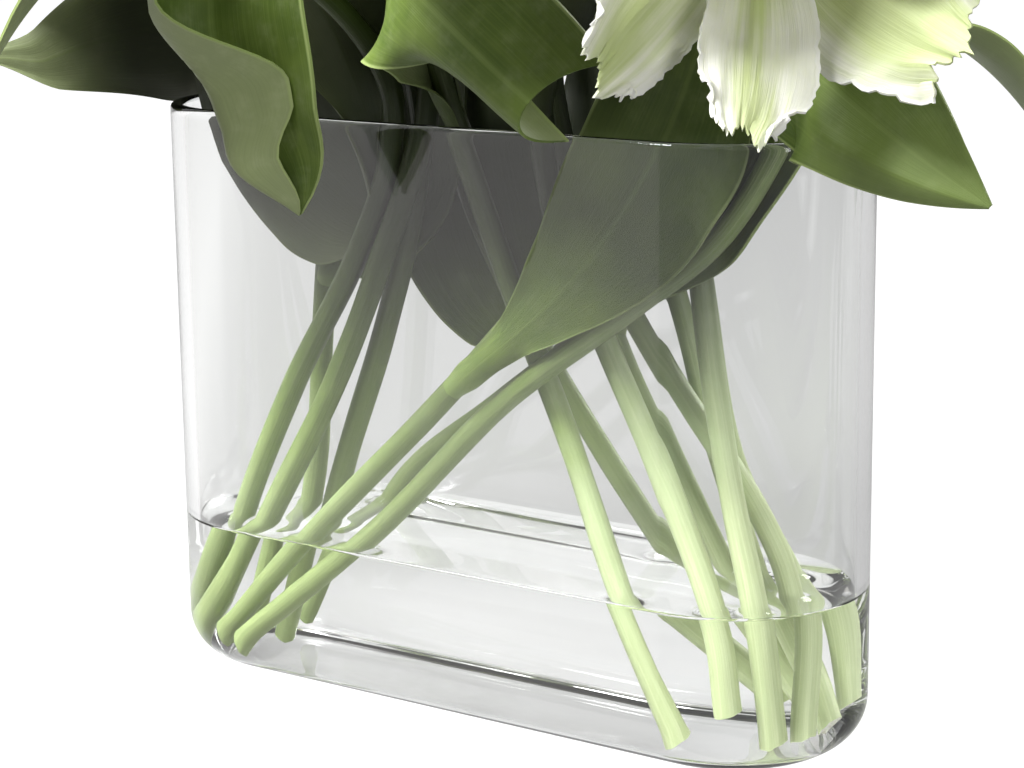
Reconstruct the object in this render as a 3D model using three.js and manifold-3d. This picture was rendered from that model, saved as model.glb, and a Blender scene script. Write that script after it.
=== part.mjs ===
// Fifteen white parrot tulips standing in an oval glass vase with a little water.
// Millimetres, +Z up. The origin is the middle of the vase's underside, +X runs along the vase's
// long side, and -Y is the side from which the arrangement is seen.

import * as THREE from 'three';
import { mergeVertices } from 'three/addons/utils/BufferGeometryUtils.js';
import Module from 'manifold-3d';

const wasm = await Module();
wasm.setup();

// The vase: its plan is an oval with two straight sides and half-round ends.
const VASE_LENGTH = 230;
const VASE_WIDTH = 77;
const VASE_HEIGHT = 174;
const WALL = 4;
const FLOOR = 5;
const FOOT_ROUNDING = 14.5;
const INNER_ROUNDING = 9;
const RIM_ROUNDING = 1.2;
const END_STEPS = 10;
const FOOT_STEPS = 4;

// The water stands a little over a quarter of the way up.
const WATER_LEVEL = 44.4;
const GAP = 0.3;
const HOLE_GAP = 0.35;

// Stems are six-sided and taper from the cut foot to the neck.
const STEM_SIDES = 6;
const STEM_STEPS = 11;
const STEM_SAMPLES = 400;
const FOOT_RADIUS = 4.2;
const NECK_RADIUS = 3.3;

// Leaves and petals are thin lenses across, five points wide, thinner by a share at the margins.
const ACROSS = [-1, -0.5, 0, 0.5, 1];
const LENS_THINNING = 0.3;

// A leaf has a wide grown base and comes to a point. Its base is a share of its width, and its
// margins wave by a share of its width.
const LEAF_ROWS = 6;
const LEAF_THICKNESS = 1.3;
const LEAF_BASE_SHARE = 0.2;
const LEAF_WIDEST_AT = 0.42;
const LEAF_TIP_POWER = 2.6;
const LEAF_WAVE = 0.07;
const LEAF_WAVE_PACE = 9;
const LEAF_WAVE_SKEW = 2;

// A petal lies on a cup round the bloom's axis, with a frilled and toothed rim. Its lean out from
// the axis, in degrees, is one value at the base, another half way and a third at the end, and the
// last two grow as the bloom opens.
const PETALS = 6;
const PETAL_ROWS = 4;
const PETAL_LENGTH = 66;
const PETAL_WIDTH = 47;
const PETAL_THICKNESS = 1.4;
const PETAL_BASE_WIDTH = 6;
const PETAL_SHOULDER_POWER = 0.9;
const PETAL_ROUNDING = 0.82;
const PETAL_START_RADIUS = 1.5;
const PETAL_LEAST_BEND = 12;
const PATH_STEPS = 40;
const MIDDLE_LEAN = { closed: 8, opening: 34 };
const END_LEAN = { closed: -24, opening: 105 };
const FRILL = 2;
const FRILL_PACE = 5.2 * Math.PI;
const FRILL_SKEW = 2.5;
const OVERLAP = 2.2;
const TOOTH_DEPTH = [0.12, 0.02, 0.08, 0, 0.1];

// Three petals stand outside and three, smaller and less open, inside.
const OUTER_PETAL = { size: 1, opening: 1, baseLean: 80, start: 1.6 };
const INNER_PETAL = { size: 0.86, opening: 0.8, baseLean: 68, start: 5.2 };

// The knob on the neck that holds the petals.
const KNOB_RADIUS = 6.4;
const KNOB_HEIGHT = 8.5;
const KNOB_WIDEST_AT = 0.45;
const KNOB_TOP_SHARE = 0.8;
const KNOB_TURN = 30;

// The heart of a bloom: a three-sided pistil with a broad stigma, and six stamens.
const PISTIL_LENGTH = 21;
const PISTIL_RADIUS = 3;
const PISTIL_NECK_SHARE = 0.8;
const STIGMA_SHARE = 1.6;
const STAMENS = 6;
const STAMEN_LENGTH = 19;
const STAMEN_RADIUS = 1.5;
const STAMEN_SPREAD = 8;
const STAMEN_FOOT = 1.5;
const STAMEN_THICKEST_AT = 0.75;

// A bloom whose way up is nearer to upright than this is rolled from +X, and any other from +Z.
const NEARLY_UPRIGHT = 0.9;

const glass = new THREE.MeshStandardMaterial({
  color: 0xe8eeec, roughness: 0.03, metalness: 0, transparent: true, opacity: 0.25,
});
const clearWater = new THREE.MeshStandardMaterial({
  color: 0xeef3f0, roughness: 0.02, metalness: 0, transparent: true, opacity: 0.3,
});
const leafGreen = new THREE.MeshStandardMaterial({ color: 0x5f7f45, roughness: 0.5, metalness: 0 });
const petalWhite = new THREE.MeshStandardMaterial({ color: 0xf1f2e4, roughness: 0.6, metalness: 0 });
const heartGreen = new THREE.MeshStandardMaterial({ color: 0xc3c76a, roughness: 0.6, metalness: 0 });

// Each tulip: the points its stem runs through from foot to neck, the way its bloom faces, how far
// the bloom has opened (0 to 1), its size and its roll in degrees, and its leaves. A leaf leaves the
// stem at the height "at" and follows two handles to its tip. It may say where it is widest, how
// late it grows wide, which way its width lies, and how much its margins wave; "fold" lifts both
// margins out of the rib.
const TULIPS = [
  {
    name: '01',
    stem: [
      [-89, -19.5, 10], [-51, -26.5, 48], [-3, -28.5, 93], [44, -28.5, 141], [72, -28, 172],
      [80, -25, 200], [93, -28, 226], [111, -50, 233],
    ],
    bloom: { faces: [0.5, -0.84, -0.12], open: 0.62, size: 1.05, roll: 180 },
    leaves: [
      {
        at: 98, width: 45, widest: 0.64, rise: 3, across: [1, 0.12, -0.7], fold: -0.1, wave: 0,
        handles: [[37, -35, 125], [79, -31.4, 152]], tip: [93, -33, 232],
      },
    ],
  },
  {
    name: '02',
    stem: [
      [-79.5, -27, 9.5], [-28, -25, 52], [18, -25.3, 96], [60, -24, 127], [84, -21, 147],
      [98, -15, 172], [110, -9, 205], [132, 3, 233],
    ],
    bloom: { faces: [0.88, 0.05, 0.47], open: 0.55, size: 1.08, roll: 0 },
    leaves: [
      {
        at: 122, width: 27, rise: 2, across: [0.5, 0, -1], fold: 0.15, wave: 0,
        handles: [[75, -17, 147], [98, -10, 166]], tip: [106, -4, 220],
      },
      {
        at: 180, width: 50, across: [-0.3, -0.4, -0.9], fold: 0.15,
        handles: [[110, -26, 206], [122, -48, 192]], tip: [174, -50, 166],
      },
    ],
  },
  {
    name: '03',
    stem: [
      [-103, -6, 10.5], [-89, -16, 44], [-64, -18.5, 91], [-40, -18.5, 130], [-25, -19, 165],
      [-26, -26, 192], [-38, -52, 219], [-61, -84, 233],
    ],
    bloom: { faces: [-0.45, -0.75, 0.48], open: 0.5, size: 1.08, roll: 40 },
    leaves: [
      {
        at: 150, width: 62, widest: 0.66, across: [-1, -0.4, 0], fold: 0.15,
        handles: [[-45, -25, 250], [-64, -80, 240]], tip: [-27, -60, 150],
      },
    ],
  },
  {
    name: '04',
    stem: [
      [-98.5, -15, 9.5], [-79, -18.5, 42], [-50, -18.5, 90], [-30, -18, 132], [-15, -17, 172],
      [-18, -15, 208], [-32, -18, 250], [-52, -24, 291],
    ],
    bloom: { faces: [-0.38, -0.2, 0.9], open: 0.38, size: 1.02, roll: 10 },
    leaves: [
      {
        at: 200, width: 44, fold: 0.3,
        handles: [[-22, -40, 250], [-45, -70, 278]], tip: [-62, -76, 276],
      },
    ],
  },
  {
    name: '05',
    stem: [
      [-73, -6, 9], [-55, -8, 62], [-38, -8, 106], [-27, -8, 142], [-23, -8, 172],
      [-33, -10, 202], [-62, -18, 224], [-95, -28, 232], [-122, -36, 238],
    ],
    bloom: { faces: [-0.82, -0.3, 0.49], open: 0.55, size: 1.08, roll: 25 },
    leaves: [
      {
        at: 128, width: 50, across: [-0.5, 0, -1], fold: 0, wave: 0,
        handles: [[-54, -6, 150], [-94, -7, 152]], tip: [-101, -12, 220],
      },
      {
        at: 200, width: 42, fold: 0.2,
        handles: [[-62, -14, 250], [-112, -52, 244]], tip: [-126, -84, 180],
      },
    ],
  },
  {
    name: '06',
    stem: [
      [-92, 8, 10], [-81, 10, 52], [-76, 10, 100], [-72, 10, 140], [-70, 11, 168],
      [-78, 16, 194], [-97, 25, 214], [-124, 34, 226],
    ],
    bloom: { faces: [-0.88, 0.2, 0.43], open: 0.58, size: 1.06, roll: 50 },
    leaves: [
      {
        at: 150, width: 52, across: [-0.3, 0, -1], fold: 0.1,
        handles: [[-80, 4, 206], [-118, -8, 214]], tip: [-176, -34, 184],
      },
      {
        at: 116, width: 50, across: [1, 0, -0.3], fold: 0, wave: 0,
        handles: [[-56, 5, 142], [-32, 5, 165]], tip: [-20, 4, 226],
      },
      {
        at: 188, width: 42, fold: 0.2,
        handles: [[-95, 30, 222], [-140, 58, 200]], tip: [-160, 74, 148],
      },
    ],
  },
  {
    name: '07',
    stem: [
      [-77, 17, 10], [-57, 26, 52], [-20, 28.5, 82], [20, 28.5, 113], [58, 28.5, 145],
      [82, 29, 172], [88, 40, 200], [97, 65, 227],
    ],
    bloom: { faces: [0.72, 0.52, 0.46], open: 0.52, size: 1.08, roll: 5 },
    leaves: [
      {
        at: 112, width: 32, across: [1, 0, -0.8], fold: 0, wave: 0,
        handles: [[40, 30, 140], [62, 23, 166]], tip: [94, 38, 222],
      },
      {
        at: 186, width: 44, fold: 0.2,
        handles: [[96, 42, 214], [134, 58, 196]], tip: [150, 72, 140],
      },
    ],
  },
  {
    name: '08',
    stem: [
      [77, -27, 9], [58, -26, 44], [34, -17, 86], [16, -17, 125], [2, -18, 160],
      [-2, -30, 192], [10, -62, 228], [27, -92, 244],
    ],
    bloom: { faces: [0.2, -0.8, 0.56], open: 0.45, size: 1.06, roll: 15 },
    leaves: [
      {
        at: 172, width: 50, across: [0, -0.3, -1], fold: 0,
        handles: [[-8, -50, 236], [20, -98, 228]], tip: [78, -88, 183],
      },
    ],
  },
  {
    name: '09',
    stem: [
      [90, -25, 18], [84, -22.5, 44], [64, -16.5, 80], [46, -16.5, 115], [30, -17, 150],
      [26, -22, 190], [24, -36, 242], [22, -51, 288],
    ],
    bloom: { faces: [0.1, -0.35, 0.93], open: 0.34, size: 1.04, roll: 0 },
    leaves: [
      {
        at: 176, width: 44, fold: 0.3,
        handles: [[34, -36, 222], [52, -62, 252]], tip: [78, -92, 250],
      },
    ],
  },
  {
    name: '10',
    stem: [
      [98.5, -17, 9.5], [93, -16, 44], [80, -8, 78], [72, -8, 124], [68, -8, 165],
      [68, -6, 208], [70, -3, 250], [75, 0, 292],
    ],
    bloom: { faces: [0.35, 0, 0.94], open: 0.36, size: 1.04, roll: 30 },
    leaves: [
      {
        at: 176, width: 44, fold: 0.3,
        handles: [[82, 2, 220], [100, 18, 270]], tip: [134, 30, 296],
      },
    ],
  },
  {
    name: '11',
    stem: [
      [102.5, -9.5, 9.5], [96, 0, 42], [84, 1, 68], [54, 1, 105], [30, 1, 142],
      [18, 1, 175], [13, 2, 215], [8, 3, 268], [4, 3, 326],
    ],
    bloom: { faces: [0.02, 0.02, 1], open: 0.32, size: 1.06, roll: 12 },
    leaves: [
      {
        at: 180, width: 42, fold: 0.3,
        handles: [[14, -12, 236], [0, -20, 290]], tip: [-22, -62, 318],
      },
      {
        at: 196, width: 40, fold: 0.3,
        handles: [[22, 10, 250], [34, 10, 300]], tip: [62, 24, 334],
      },
    ],
  },
  {
    name: '12',
    stem: [
      [103, 1, 10], [83, 10, 37], [66, 10, 80], [56, 10, 112], [44, 10, 150],
      [38, 14, 190], [36, 34, 246], [34, 48, 289],
    ],
    bloom: { faces: [0.12, 0.38, 0.92], open: 0.4, size: 1.02, roll: 44 },
    leaves: [
      {
        at: 176, width: 44, fold: 0.3,
        handles: [[46, 30, 222], [70, 48, 268]], tip: [98, 62, 282],
      },
    ],
  },
  {
    name: '13',
    stem: [
      [85, 17, 9.5], [70, 15, 38], [46, 13, 81], [33, 12, 106], [18, 10, 145],
      [6, 11, 182], [-6, 20, 224], [-22, 30, 262], [-35, 40, 289],
    ],
    bloom: { faces: [-0.3, 0.32, 0.9], open: 0.36, size: 1.04, roll: 22 },
    leaves: [
      {
        at: 110, width: 42, across: [1, 0, 0], fold: 0, wave: 0,
        handles: [[26, 21, 134], [18, 22, 172]], tip: [16, 58, 240],
      },
      {
        at: 196, width: 42, fold: 0.3,
        handles: [[-12, 26, 226], [-50, 44, 262]], tip: [-92, 38, 276],
      },
    ],
  },
  {
    name: '14',
    stem: [
      [75, 22, 9.5], [54, 19, 35], [20, 19, 76], [-8, 19, 115], [-28, 20, 152],
      [-38, 28, 184], [-52, 56, 214], [-70, 82, 230],
    ],
    bloom: { faces: [-0.5, 0.72, 0.48], open: 0.55, size: 1.08, roll: 33 },
    leaves: [
      {
        at: 100, width: 58, across: [1, 0, 0], fold: 0, wave: 0,
        handles: [[-30, 27, 120], [-42, 20, 170]], tip: [-46, 60, 240],
      },
      {
        at: 176, width: 42, fold: 0.2,
        handles: [[-50, 44, 216], [-92, 74, 206]], tip: [-112, 98, 150],
      },
    ],
  },
  {
    name: '15',
    stem: [
      [100, 12, 12.5], [87, 19, 42], [66, 19, 76], [57, 19, 116], [51, 20, 160],
      [48, 32, 198], [38, 62, 223], [22, 95, 234],
    ],
    bloom: { faces: [0.05, 0.85, 0.52], open: 0.5, size: 1.08, roll: 8 },
    leaves: [
      {
        at: 186, width: 44, fold: 0.2,
        handles: [[54, 52, 222], [36, 88, 206]], tip: [14, 114, 148],
      },
    ],
  },
];

const radians = (degrees) => degrees * Math.PI / 180;

const vector = (list) => new THREE.Vector3(list[0], list[1], list[2]);

// A closed geometry from its corner points and its triangles.
function closedGeometry(points, triangles) {
  const geometry = new THREE.BufferGeometry();
  const numbers = points.flatMap((point) => point.toArray());
  geometry.setAttribute('position', new THREE.Float32BufferAttribute(numbers, 3));
  geometry.setIndex(triangles.flat());
  return geometry;
}

// Joins rings of equally many points into a skin, and closes both ends with a fan.
function loft(rings) {
  const count = rings[0].length;
  const points = rings.flat();
  const triangles = [];
  for (let r = 0; r + 1 < rings.length; r += 1) {
    for (let i = 0; i < count; i += 1) {
      const a = r * count + i;
      const b = r * count + (i + 1) % count;
      triangles.push([a, b, b + count], [a, b + count, a + count]);
    }
  }
  const ends = [[rings[0], 0, true], [rings[rings.length - 1], (rings.length - 1) * count, false]];
  for (const [ring, offset, first] of ends) {
    const middle = points.length;
    points.push(ring.reduce((sum, p) => sum.add(p), new THREE.Vector3()).divideScalar(count));
    for (let i = 0; i < count; i += 1) {
      const a = offset + i;
      const b = offset + (i + 1) % count;
      triangles.push(first ? [b, a, middle] : [a, b, middle]);
    }
  }
  return closedGeometry(points, triangles);
}

// The vase's oval outline at one height, drawn in from its outside by an inset.
function oval(inset, z) {
  const radius = VASE_WIDTH / 2 - inset;
  const half = (VASE_LENGTH - VASE_WIDTH) / 2;
  const points = [];
  for (const side of [1, -1]) {
    for (let i = 0; i <= END_STEPS; i += 1) {
      const angle = Math.PI * (i / END_STEPS - 0.5);
      const x = side * (half + radius * Math.cos(angle));
      points.push(new THREE.Vector3(x, side * radius * Math.sin(angle), z));
    }
  }
  return points;
}

// Ovals round the quarter turn from a floor up into a wall.
function footRings(inset, floor, rounding) {
  const rings = [];
  for (let i = 0; i <= FOOT_STEPS; i += 1) {
    const angle = radians(90) * i / FOOT_STEPS;
    const drawnIn = rounding * (1 - Math.sin(angle));
    rings.push(oval(inset + drawnIn, floor + rounding * (1 - Math.cos(angle))));
  }
  return rings;
}

function vaseGeometry() {
  const rim = [
    oval(0, VASE_HEIGHT - RIM_ROUNDING),
    oval(RIM_ROUNDING, VASE_HEIGHT),
    oval(WALL - RIM_ROUNDING, VASE_HEIGHT),
    oval(WALL, VASE_HEIGHT - RIM_ROUNDING),
  ];
  const inside = footRings(WALL, FLOOR, INNER_ROUNDING).reverse();
  return loft([...footRings(0, 0, FOOT_ROUNDING), ...rim, ...inside]);
}

// A manifold solid of a closed geometry.
function toSolid(geometry) {
  const bare = geometry.clone();
  bare.deleteAttribute('normal');
  bare.deleteAttribute('uv');
  const merged = mergeVertices(bare, 1e-4);
  return new wasm.Manifold(new wasm.Mesh({
    numProp: 3,
    vertProperties: new Float32Array(merged.attributes.position.array),
    triVerts: new Uint32Array(merged.index.array),
  }));
}

function toGeometry(solid) {
  const mesh = solid.getMesh();
  const geometry = new THREE.BufferGeometry();
  const numbers = new Float32Array(mesh.vertProperties);
  geometry.setAttribute('position', new THREE.BufferAttribute(numbers, 3));
  geometry.setIndex(new THREE.BufferAttribute(new Uint32Array(mesh.triVerts), 1));
  return geometry;
}

// Only a solid's largest skin, which fills a hollow that is sealed in it and drops a loose scrap.
function largestSkin(solid) {
  return solid.decompose().sort((a, b) => b.volume() - a.volume())[0];
}

// Joins solids into one body.
function join(geometries) {
  return toGeometry(largestSkin(geometries.map(toSolid).reduce((a, b) => a.add(b))));
}

function stemCurve(tulip) {
  return new THREE.CatmullRomCurve3(tulip.stem.map(vector), false, 'catmullrom', 0.5);
}

// A round stem along its curve, wider by an allowance where a hole is wanted for it.
function stemGeometry(tulip, allowance) {
  const curve = stemCurve(tulip);
  const rings = [];
  let side = new THREE.Vector3(0, 1, 0);
  for (let s = 0; s <= STEM_STEPS; s += 1) {
    const along = s / STEM_STEPS;
    const centre = curve.getPoint(along);
    const radius = FOOT_RADIUS + (NECK_RADIUS - FOOT_RADIUS) * along + allowance;
    const last = s === STEM_STEPS;
    const tangent = last ? vector(tulip.bloom.faces).normalize() : curve.getTangent(along);
    side = side.clone().addScaledVector(tangent, -side.dot(tangent)).normalize();
    const other = new THREE.Vector3().crossVectors(tangent, side);
    const ring = [];
    for (let i = 0; i < STEM_SIDES; i += 1) {
      const angle = 2 * Math.PI * i / STEM_SIDES;
      const point = centre.clone().addScaledVector(side, radius * Math.cos(angle));
      ring.push(point.addScaledVector(other, radius * Math.sin(angle)));
    }
    rings.push(ring);
  }
  return loft(rings);
}

// A thin blade from rows of points across, the first and the last of which may be a single point.
// The rim of both faces is shared, the points within it stand half a thickness off on either side,
// and both faces are split into triangles alike.
function bladeGeometry(rows, normals, thickness) {
  const points = [];
  const upper = [];
  const lower = [];
  rows.forEach((row, r) => {
    upper.push([]);
    lower.push([]);
    row.forEach((point, c) => {
      const onRim = r === 0 || r === rows.length - 1 || c === 0 || c === row.length - 1;
      if (onRim) {
        upper[r].push(points.length);
        lower[r].push(points.length);
        points.push(point);
      } else {
        const lens = 0.5 * thickness * (1 - LENS_THINNING * ACROSS[c] ** 2);
        upper[r].push(points.length);
        points.push(point.clone().addScaledVector(normals[r][c], lens));
        lower[r].push(points.length);
        points.push(point.clone().addScaledVector(normals[r][c], -lens));
      }
    });
  });
  const triangles = [];
  for (const [face, flip] of [[upper, false], [lower, true]]) {
    for (let r = 0; r + 1 < rows.length; r += 1) {
      for (let c = 0; c + 1 < ACROSS.length; c += 1) {
        const [a, b] = [c, c + 1].map((k) => face[r][Math.min(k, face[r].length - 1)]);
        const [d, e] = [c, c + 1].map((k) => face[r + 1][Math.min(k, face[r + 1].length - 1)]);
        const split = c < 2 ? [[a, b, e], [a, e, d]] : [[a, b, d], [b, e, d]];
        for (const [p, q, s] of split) {
          if (p !== q && q !== s && s !== p) {
            triangles.push(flip ? [q, p, s] : [p, q, s]);
          }
        }
      }
    }
  }
  return closedGeometry(points, triangles);
}

// Relative width of a leaf along its length, which is greatest at the part "widest". It grows the
// later, the higher the power "rise" is.
function leafWidth(along, leaf) {
  const widest = leaf.widest ?? LEAF_WIDEST_AT;
  const rise = Math.sin(radians(90) * Math.min(along / widest, 1)) ** (leaf.rise ?? 1);
  const fall = Math.max((along - widest) / (1 - widest), 0);
  return (LEAF_BASE_SHARE + (1 - LEAF_BASE_SHARE) * rise) * (1 - fall ** LEAF_TIP_POWER);
}

// The point of a stem's curve at a height.
function pointAtHeight(curve, height) {
  for (let i = 0; i <= STEM_SAMPLES; i += 1) {
    const point = curve.getPoint(i / STEM_SAMPLES);
    if (point.z >= height) {
      return point;
    }
  }
  throw new Error('no such height on the stem');
}

function leafGeometry(tulip, leaf) {
  const root = pointAtHeight(stemCurve(tulip), leaf.at);
  const tip = vector(leaf.tip);
  const handles = leaf.handles.map(vector);
  const curve = new THREE.CubicBezierCurve3(root, handles[0], handles[1], tip);
  const outward = tip.clone().sub(root).setZ(0).normalize();
  const wide = leaf.across ? vector(leaf.across) : new THREE.Vector3(outward.y, -outward.x, 0);
  const wave = (leaf.wave ?? LEAF_WAVE) * leaf.width;
  const rows = [];
  const normals = [];
  for (let r = 0; r <= LEAF_ROWS; r += 1) {
    const along = r / LEAF_ROWS;
    const centre = curve.getPoint(along);
    const tangent = curve.getTangent(along);
    const across = wide.clone().addScaledVector(tangent, -wide.dot(tangent)).normalize();
    const face = new THREE.Vector3().crossVectors(across, tangent);
    const spread = leafWidth(along, leaf);
    const half = 0.5 * leaf.width * spread;
    if (r === 0 || r === LEAF_ROWS) {
      rows.push([centre]);
      normals.push([face]);
    } else {
      rows.push(ACROSS.map((v) => {
        const ripple = Math.sin(LEAF_WAVE_PACE * along + LEAF_WAVE_SKEW * v);
        const lift = leaf.fold * Math.abs(v) * half + wave * v * Math.abs(v) * ripple;
        const point = centre.clone().addScaledVector(across, v * half);
        return point.addScaledVector(face, lift * spread);
      }));
      normals.push(ACROSS.map(() => face));
    }
  }
  return bladeGeometry(rows, normals, LEAF_THICKNESS);
}

// The frame of a bloom: its way up, and two ways across turned by its roll.
function bloomFrame(tulip) {
  const up = vector(tulip.bloom.faces).normalize();
  const upright = Math.abs(up.z) > NEARLY_UPRIGHT;
  const hint = upright ? new THREE.Vector3(1, 0, 0) : new THREE.Vector3(0, 0, 1);
  const first = hint.addScaledVector(up, -hint.dot(up)).normalize();
  first.applyAxisAngle(up, radians(tulip.bloom.roll));
  const neck = vector(tulip.stem[tulip.stem.length - 1]);
  return { up, first, second: new THREE.Vector3().crossVectors(up, first), neck };
}

// A petal's path out of the knob, as distance from the axis, height and lean at each step.
function petalPath(kind, open, length) {
  const middle = MIDDLE_LEAN.closed + MIDDLE_LEAN.opening * open * kind.opening;
  const end = END_LEAN.closed + END_LEAN.opening * open * kind.opening;
  const path = [];
  let out = PETAL_START_RADIUS;
  let up = kind.start;
  for (let s = 0; s <= PATH_STEPS; s += 1) {
    const u = s / PATH_STEPS;
    const nearBase = (1 - u) ** 3;
    const nearEnd = u * u;
    const halfWay = 1 - nearBase - nearEnd;
    const lean = radians(kind.baseLean * nearBase + middle * halfWay + end * nearEnd);
    path.push([out, up, lean]);
    out += length * Math.sin(lean) / PATH_STEPS;
    up += length * Math.cos(lean) / PATH_STEPS;
  }
  return path;
}

function petalGeometry(tulip, index) {
  const kind = index % 2 === 1 ? INNER_PETAL : OUTER_PETAL;
  const scale = tulip.bloom.size * kind.size;
  const path = petalPath(kind, tulip.bloom.open, PETAL_LENGTH * scale);
  const { up, first, second, neck } = bloomFrame(tulip);
  const turn = 2 * Math.PI * index / PETALS;
  const outward = first.clone().multiplyScalar(Math.cos(turn));
  outward.addScaledVector(second, Math.sin(turn));
  const sideways = new THREE.Vector3().crossVectors(up, outward);
  const rows = [];
  const normals = [];
  for (let r = 0; r <= PETAL_ROWS; r += 1) {
    const along = r / PETAL_ROWS;
    const swell = Math.sin(Math.PI * PETAL_ROUNDING * along ** PETAL_SHOULDER_POWER);
    const half = 0.5 * (PETAL_BASE_WIDTH + (PETAL_WIDTH * scale - PETAL_BASE_WIDTH) * swell);
    const row = [];
    const rowNormals = [];
    ACROSS.forEach((v, c) => {
      const tooth = r === PETAL_ROWS ? TOOTH_DEPTH[(c + index) % ACROSS.length] : 0;
      const [out, rise, lean] = path[Math.round(along * (1 - tooth) * PATH_STEPS)];
      const bend = Math.max(out, PETAL_LEAST_BEND);
      const swing = v * half / bend;
      const frill = FRILL * v * v * along * Math.sin(FRILL_PACE * along + index + FRILL_SKEW * v);
      const normal = outward.clone().multiplyScalar(Math.cos(swing) * Math.cos(lean));
      normal.addScaledVector(sideways, Math.sin(swing) * Math.cos(lean));
      normal.addScaledVector(up, -Math.sin(lean));
      const point = neck.clone().addScaledVector(up, rise);
      point.addScaledVector(outward, out - bend * (1 - Math.cos(swing)));
      point.addScaledVector(sideways, bend * Math.sin(swing));
      point.addScaledVector(normal, frill + OVERLAP * v * along);
      row.push(point);
      rowNormals.push(normal);
    });
    rows.push(r === 0 ? [row[2]] : row);
    normals.push(rowNormals);
  }
  return bladeGeometry(rows, normals, PETAL_THICKNESS);
}

// A skin about a bloom's axis, from pairs of a radius and a height above the neck.
function turned(tulip, profile, sides, phase) {
  const { up, first, second, neck } = bloomFrame(tulip);
  return loft(profile.map(([radius, height]) => {
    const ring = [];
    for (let i = 0; i < sides; i += 1) {
      const angle = 2 * Math.PI * i / sides + radians(phase);
      const point = neck.clone().addScaledVector(up, height);
      point.addScaledVector(first, radius * Math.cos(angle));
      ring.push(point.addScaledVector(second, radius * Math.sin(angle)));
    }
    return ring;
  }));
}

function petalsGeometry(tulip) {
  const solids = [turned(tulip, [
    [NECK_RADIUS, GAP],
    [KNOB_RADIUS, KNOB_HEIGHT * KNOB_WIDEST_AT],
    [KNOB_RADIUS * KNOB_TOP_SHARE, KNOB_HEIGHT],
  ], STEM_SIDES, KNOB_TURN)];
  for (let index = 0; index < PETALS; index += 1) {
    solids.push(petalGeometry(tulip, index));
  }
  return join(solids);
}

// A slim three-sided spindle from one point to another.
function spindle(start, end, sideways, radius) {
  const along = end.clone().sub(start).normalize();
  const other = new THREE.Vector3().crossVectors(along, sideways);
  const points = [start, end];
  for (const angle of [0, 120, 240].map(radians)) {
    const middle = start.clone().lerp(end, STAMEN_THICKEST_AT);
    middle.addScaledVector(sideways, radius * Math.cos(angle));
    points.push(middle.addScaledVector(other, radius * Math.sin(angle)));
  }
  return closedGeometry(points, [[0, 3, 2], [0, 4, 3], [0, 2, 4], [1, 2, 3], [1, 3, 4], [1, 4, 2]]);
}

function heartGeometry(tulip) {
  const { size } = tulip.bloom;
  const { up, first, second, neck } = bloomFrame(tulip);
  const start = KNOB_HEIGHT + GAP;
  const pistil = turned(tulip, [
    [PISTIL_RADIUS, start],
    [PISTIL_RADIUS * PISTIL_NECK_SHARE, start + PISTIL_LENGTH * size * PISTIL_NECK_SHARE],
    [PISTIL_RADIUS * STIGMA_SHARE, start + PISTIL_LENGTH * size],
  ], 3, 0);
  const stamens = [];
  for (let i = 0; i < STAMENS; i += 1) {
    const turn = 2 * Math.PI * (i + 0.5) / STAMENS;
    const outward = first.clone().multiplyScalar(Math.cos(turn));
    outward.addScaledVector(second, Math.sin(turn));
    const sideways = new THREE.Vector3().crossVectors(up, outward);
    const foot = neck.clone().addScaledVector(up, start + STAMEN_FOOT);
    const tip = neck.clone().addScaledVector(up, start + STAMEN_LENGTH * size);
    tip.addScaledVector(outward, STAMEN_SPREAD * size);
    stamens.push(spindle(foot, tip, sideways, STAMEN_RADIUS));
  }
  return join([pistil, ...stamens]);
}

// The water fills the vase's foot, with a plain hole round each stem that stands in it.
function waterGeometry() {
  const rings = footRings(WALL + GAP, FLOOR + GAP, INNER_ROUNDING - GAP);
  rings.push(oval(WALL + GAP, WATER_LEVEL));
  const holes = TULIPS.map((tulip) => toSolid(stemGeometry(tulip, HOLE_GAP)));
  const drilled = holes.reduce((water, hole) => water.subtract(hole), toSolid(loft(rings)));
  return toGeometry(largestSkin(drilled));
}

const group = new THREE.Group();

function addPiece(name, geometry, material) {
  const mesh = new THREE.Mesh(geometry, material);
  mesh.name = name;
  group.add(mesh);
}

addPiece('vase', vaseGeometry(), glass);
addPiece('water', waterGeometry(), clearWater);
for (const tulip of TULIPS) {
  const leaves = tulip.leaves.map((leaf) => leafGeometry(tulip, leaf));
  addPiece(`stem_${tulip.name}`, join([stemGeometry(tulip, 0), ...leaves]), leafGreen);
  addPiece(`petals_${tulip.name}`, petalsGeometry(tulip), petalWhite);
  addPiece(`heart_${tulip.name}`, heartGeometry(tulip), heartGreen);
}

export default group;
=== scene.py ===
# Fifteen white parrot tulips standing in an oval vase of clear glass with a little water.
# Metres, +Z up, the origin under the middle of the vase. The stems and leaves, the petals and the
# hearts of the blooms take the place of the plain solids of the frame, on the same curves.

import math

import bmesh
import bpy
from mathutils import Matrix, Vector, noise


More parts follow.
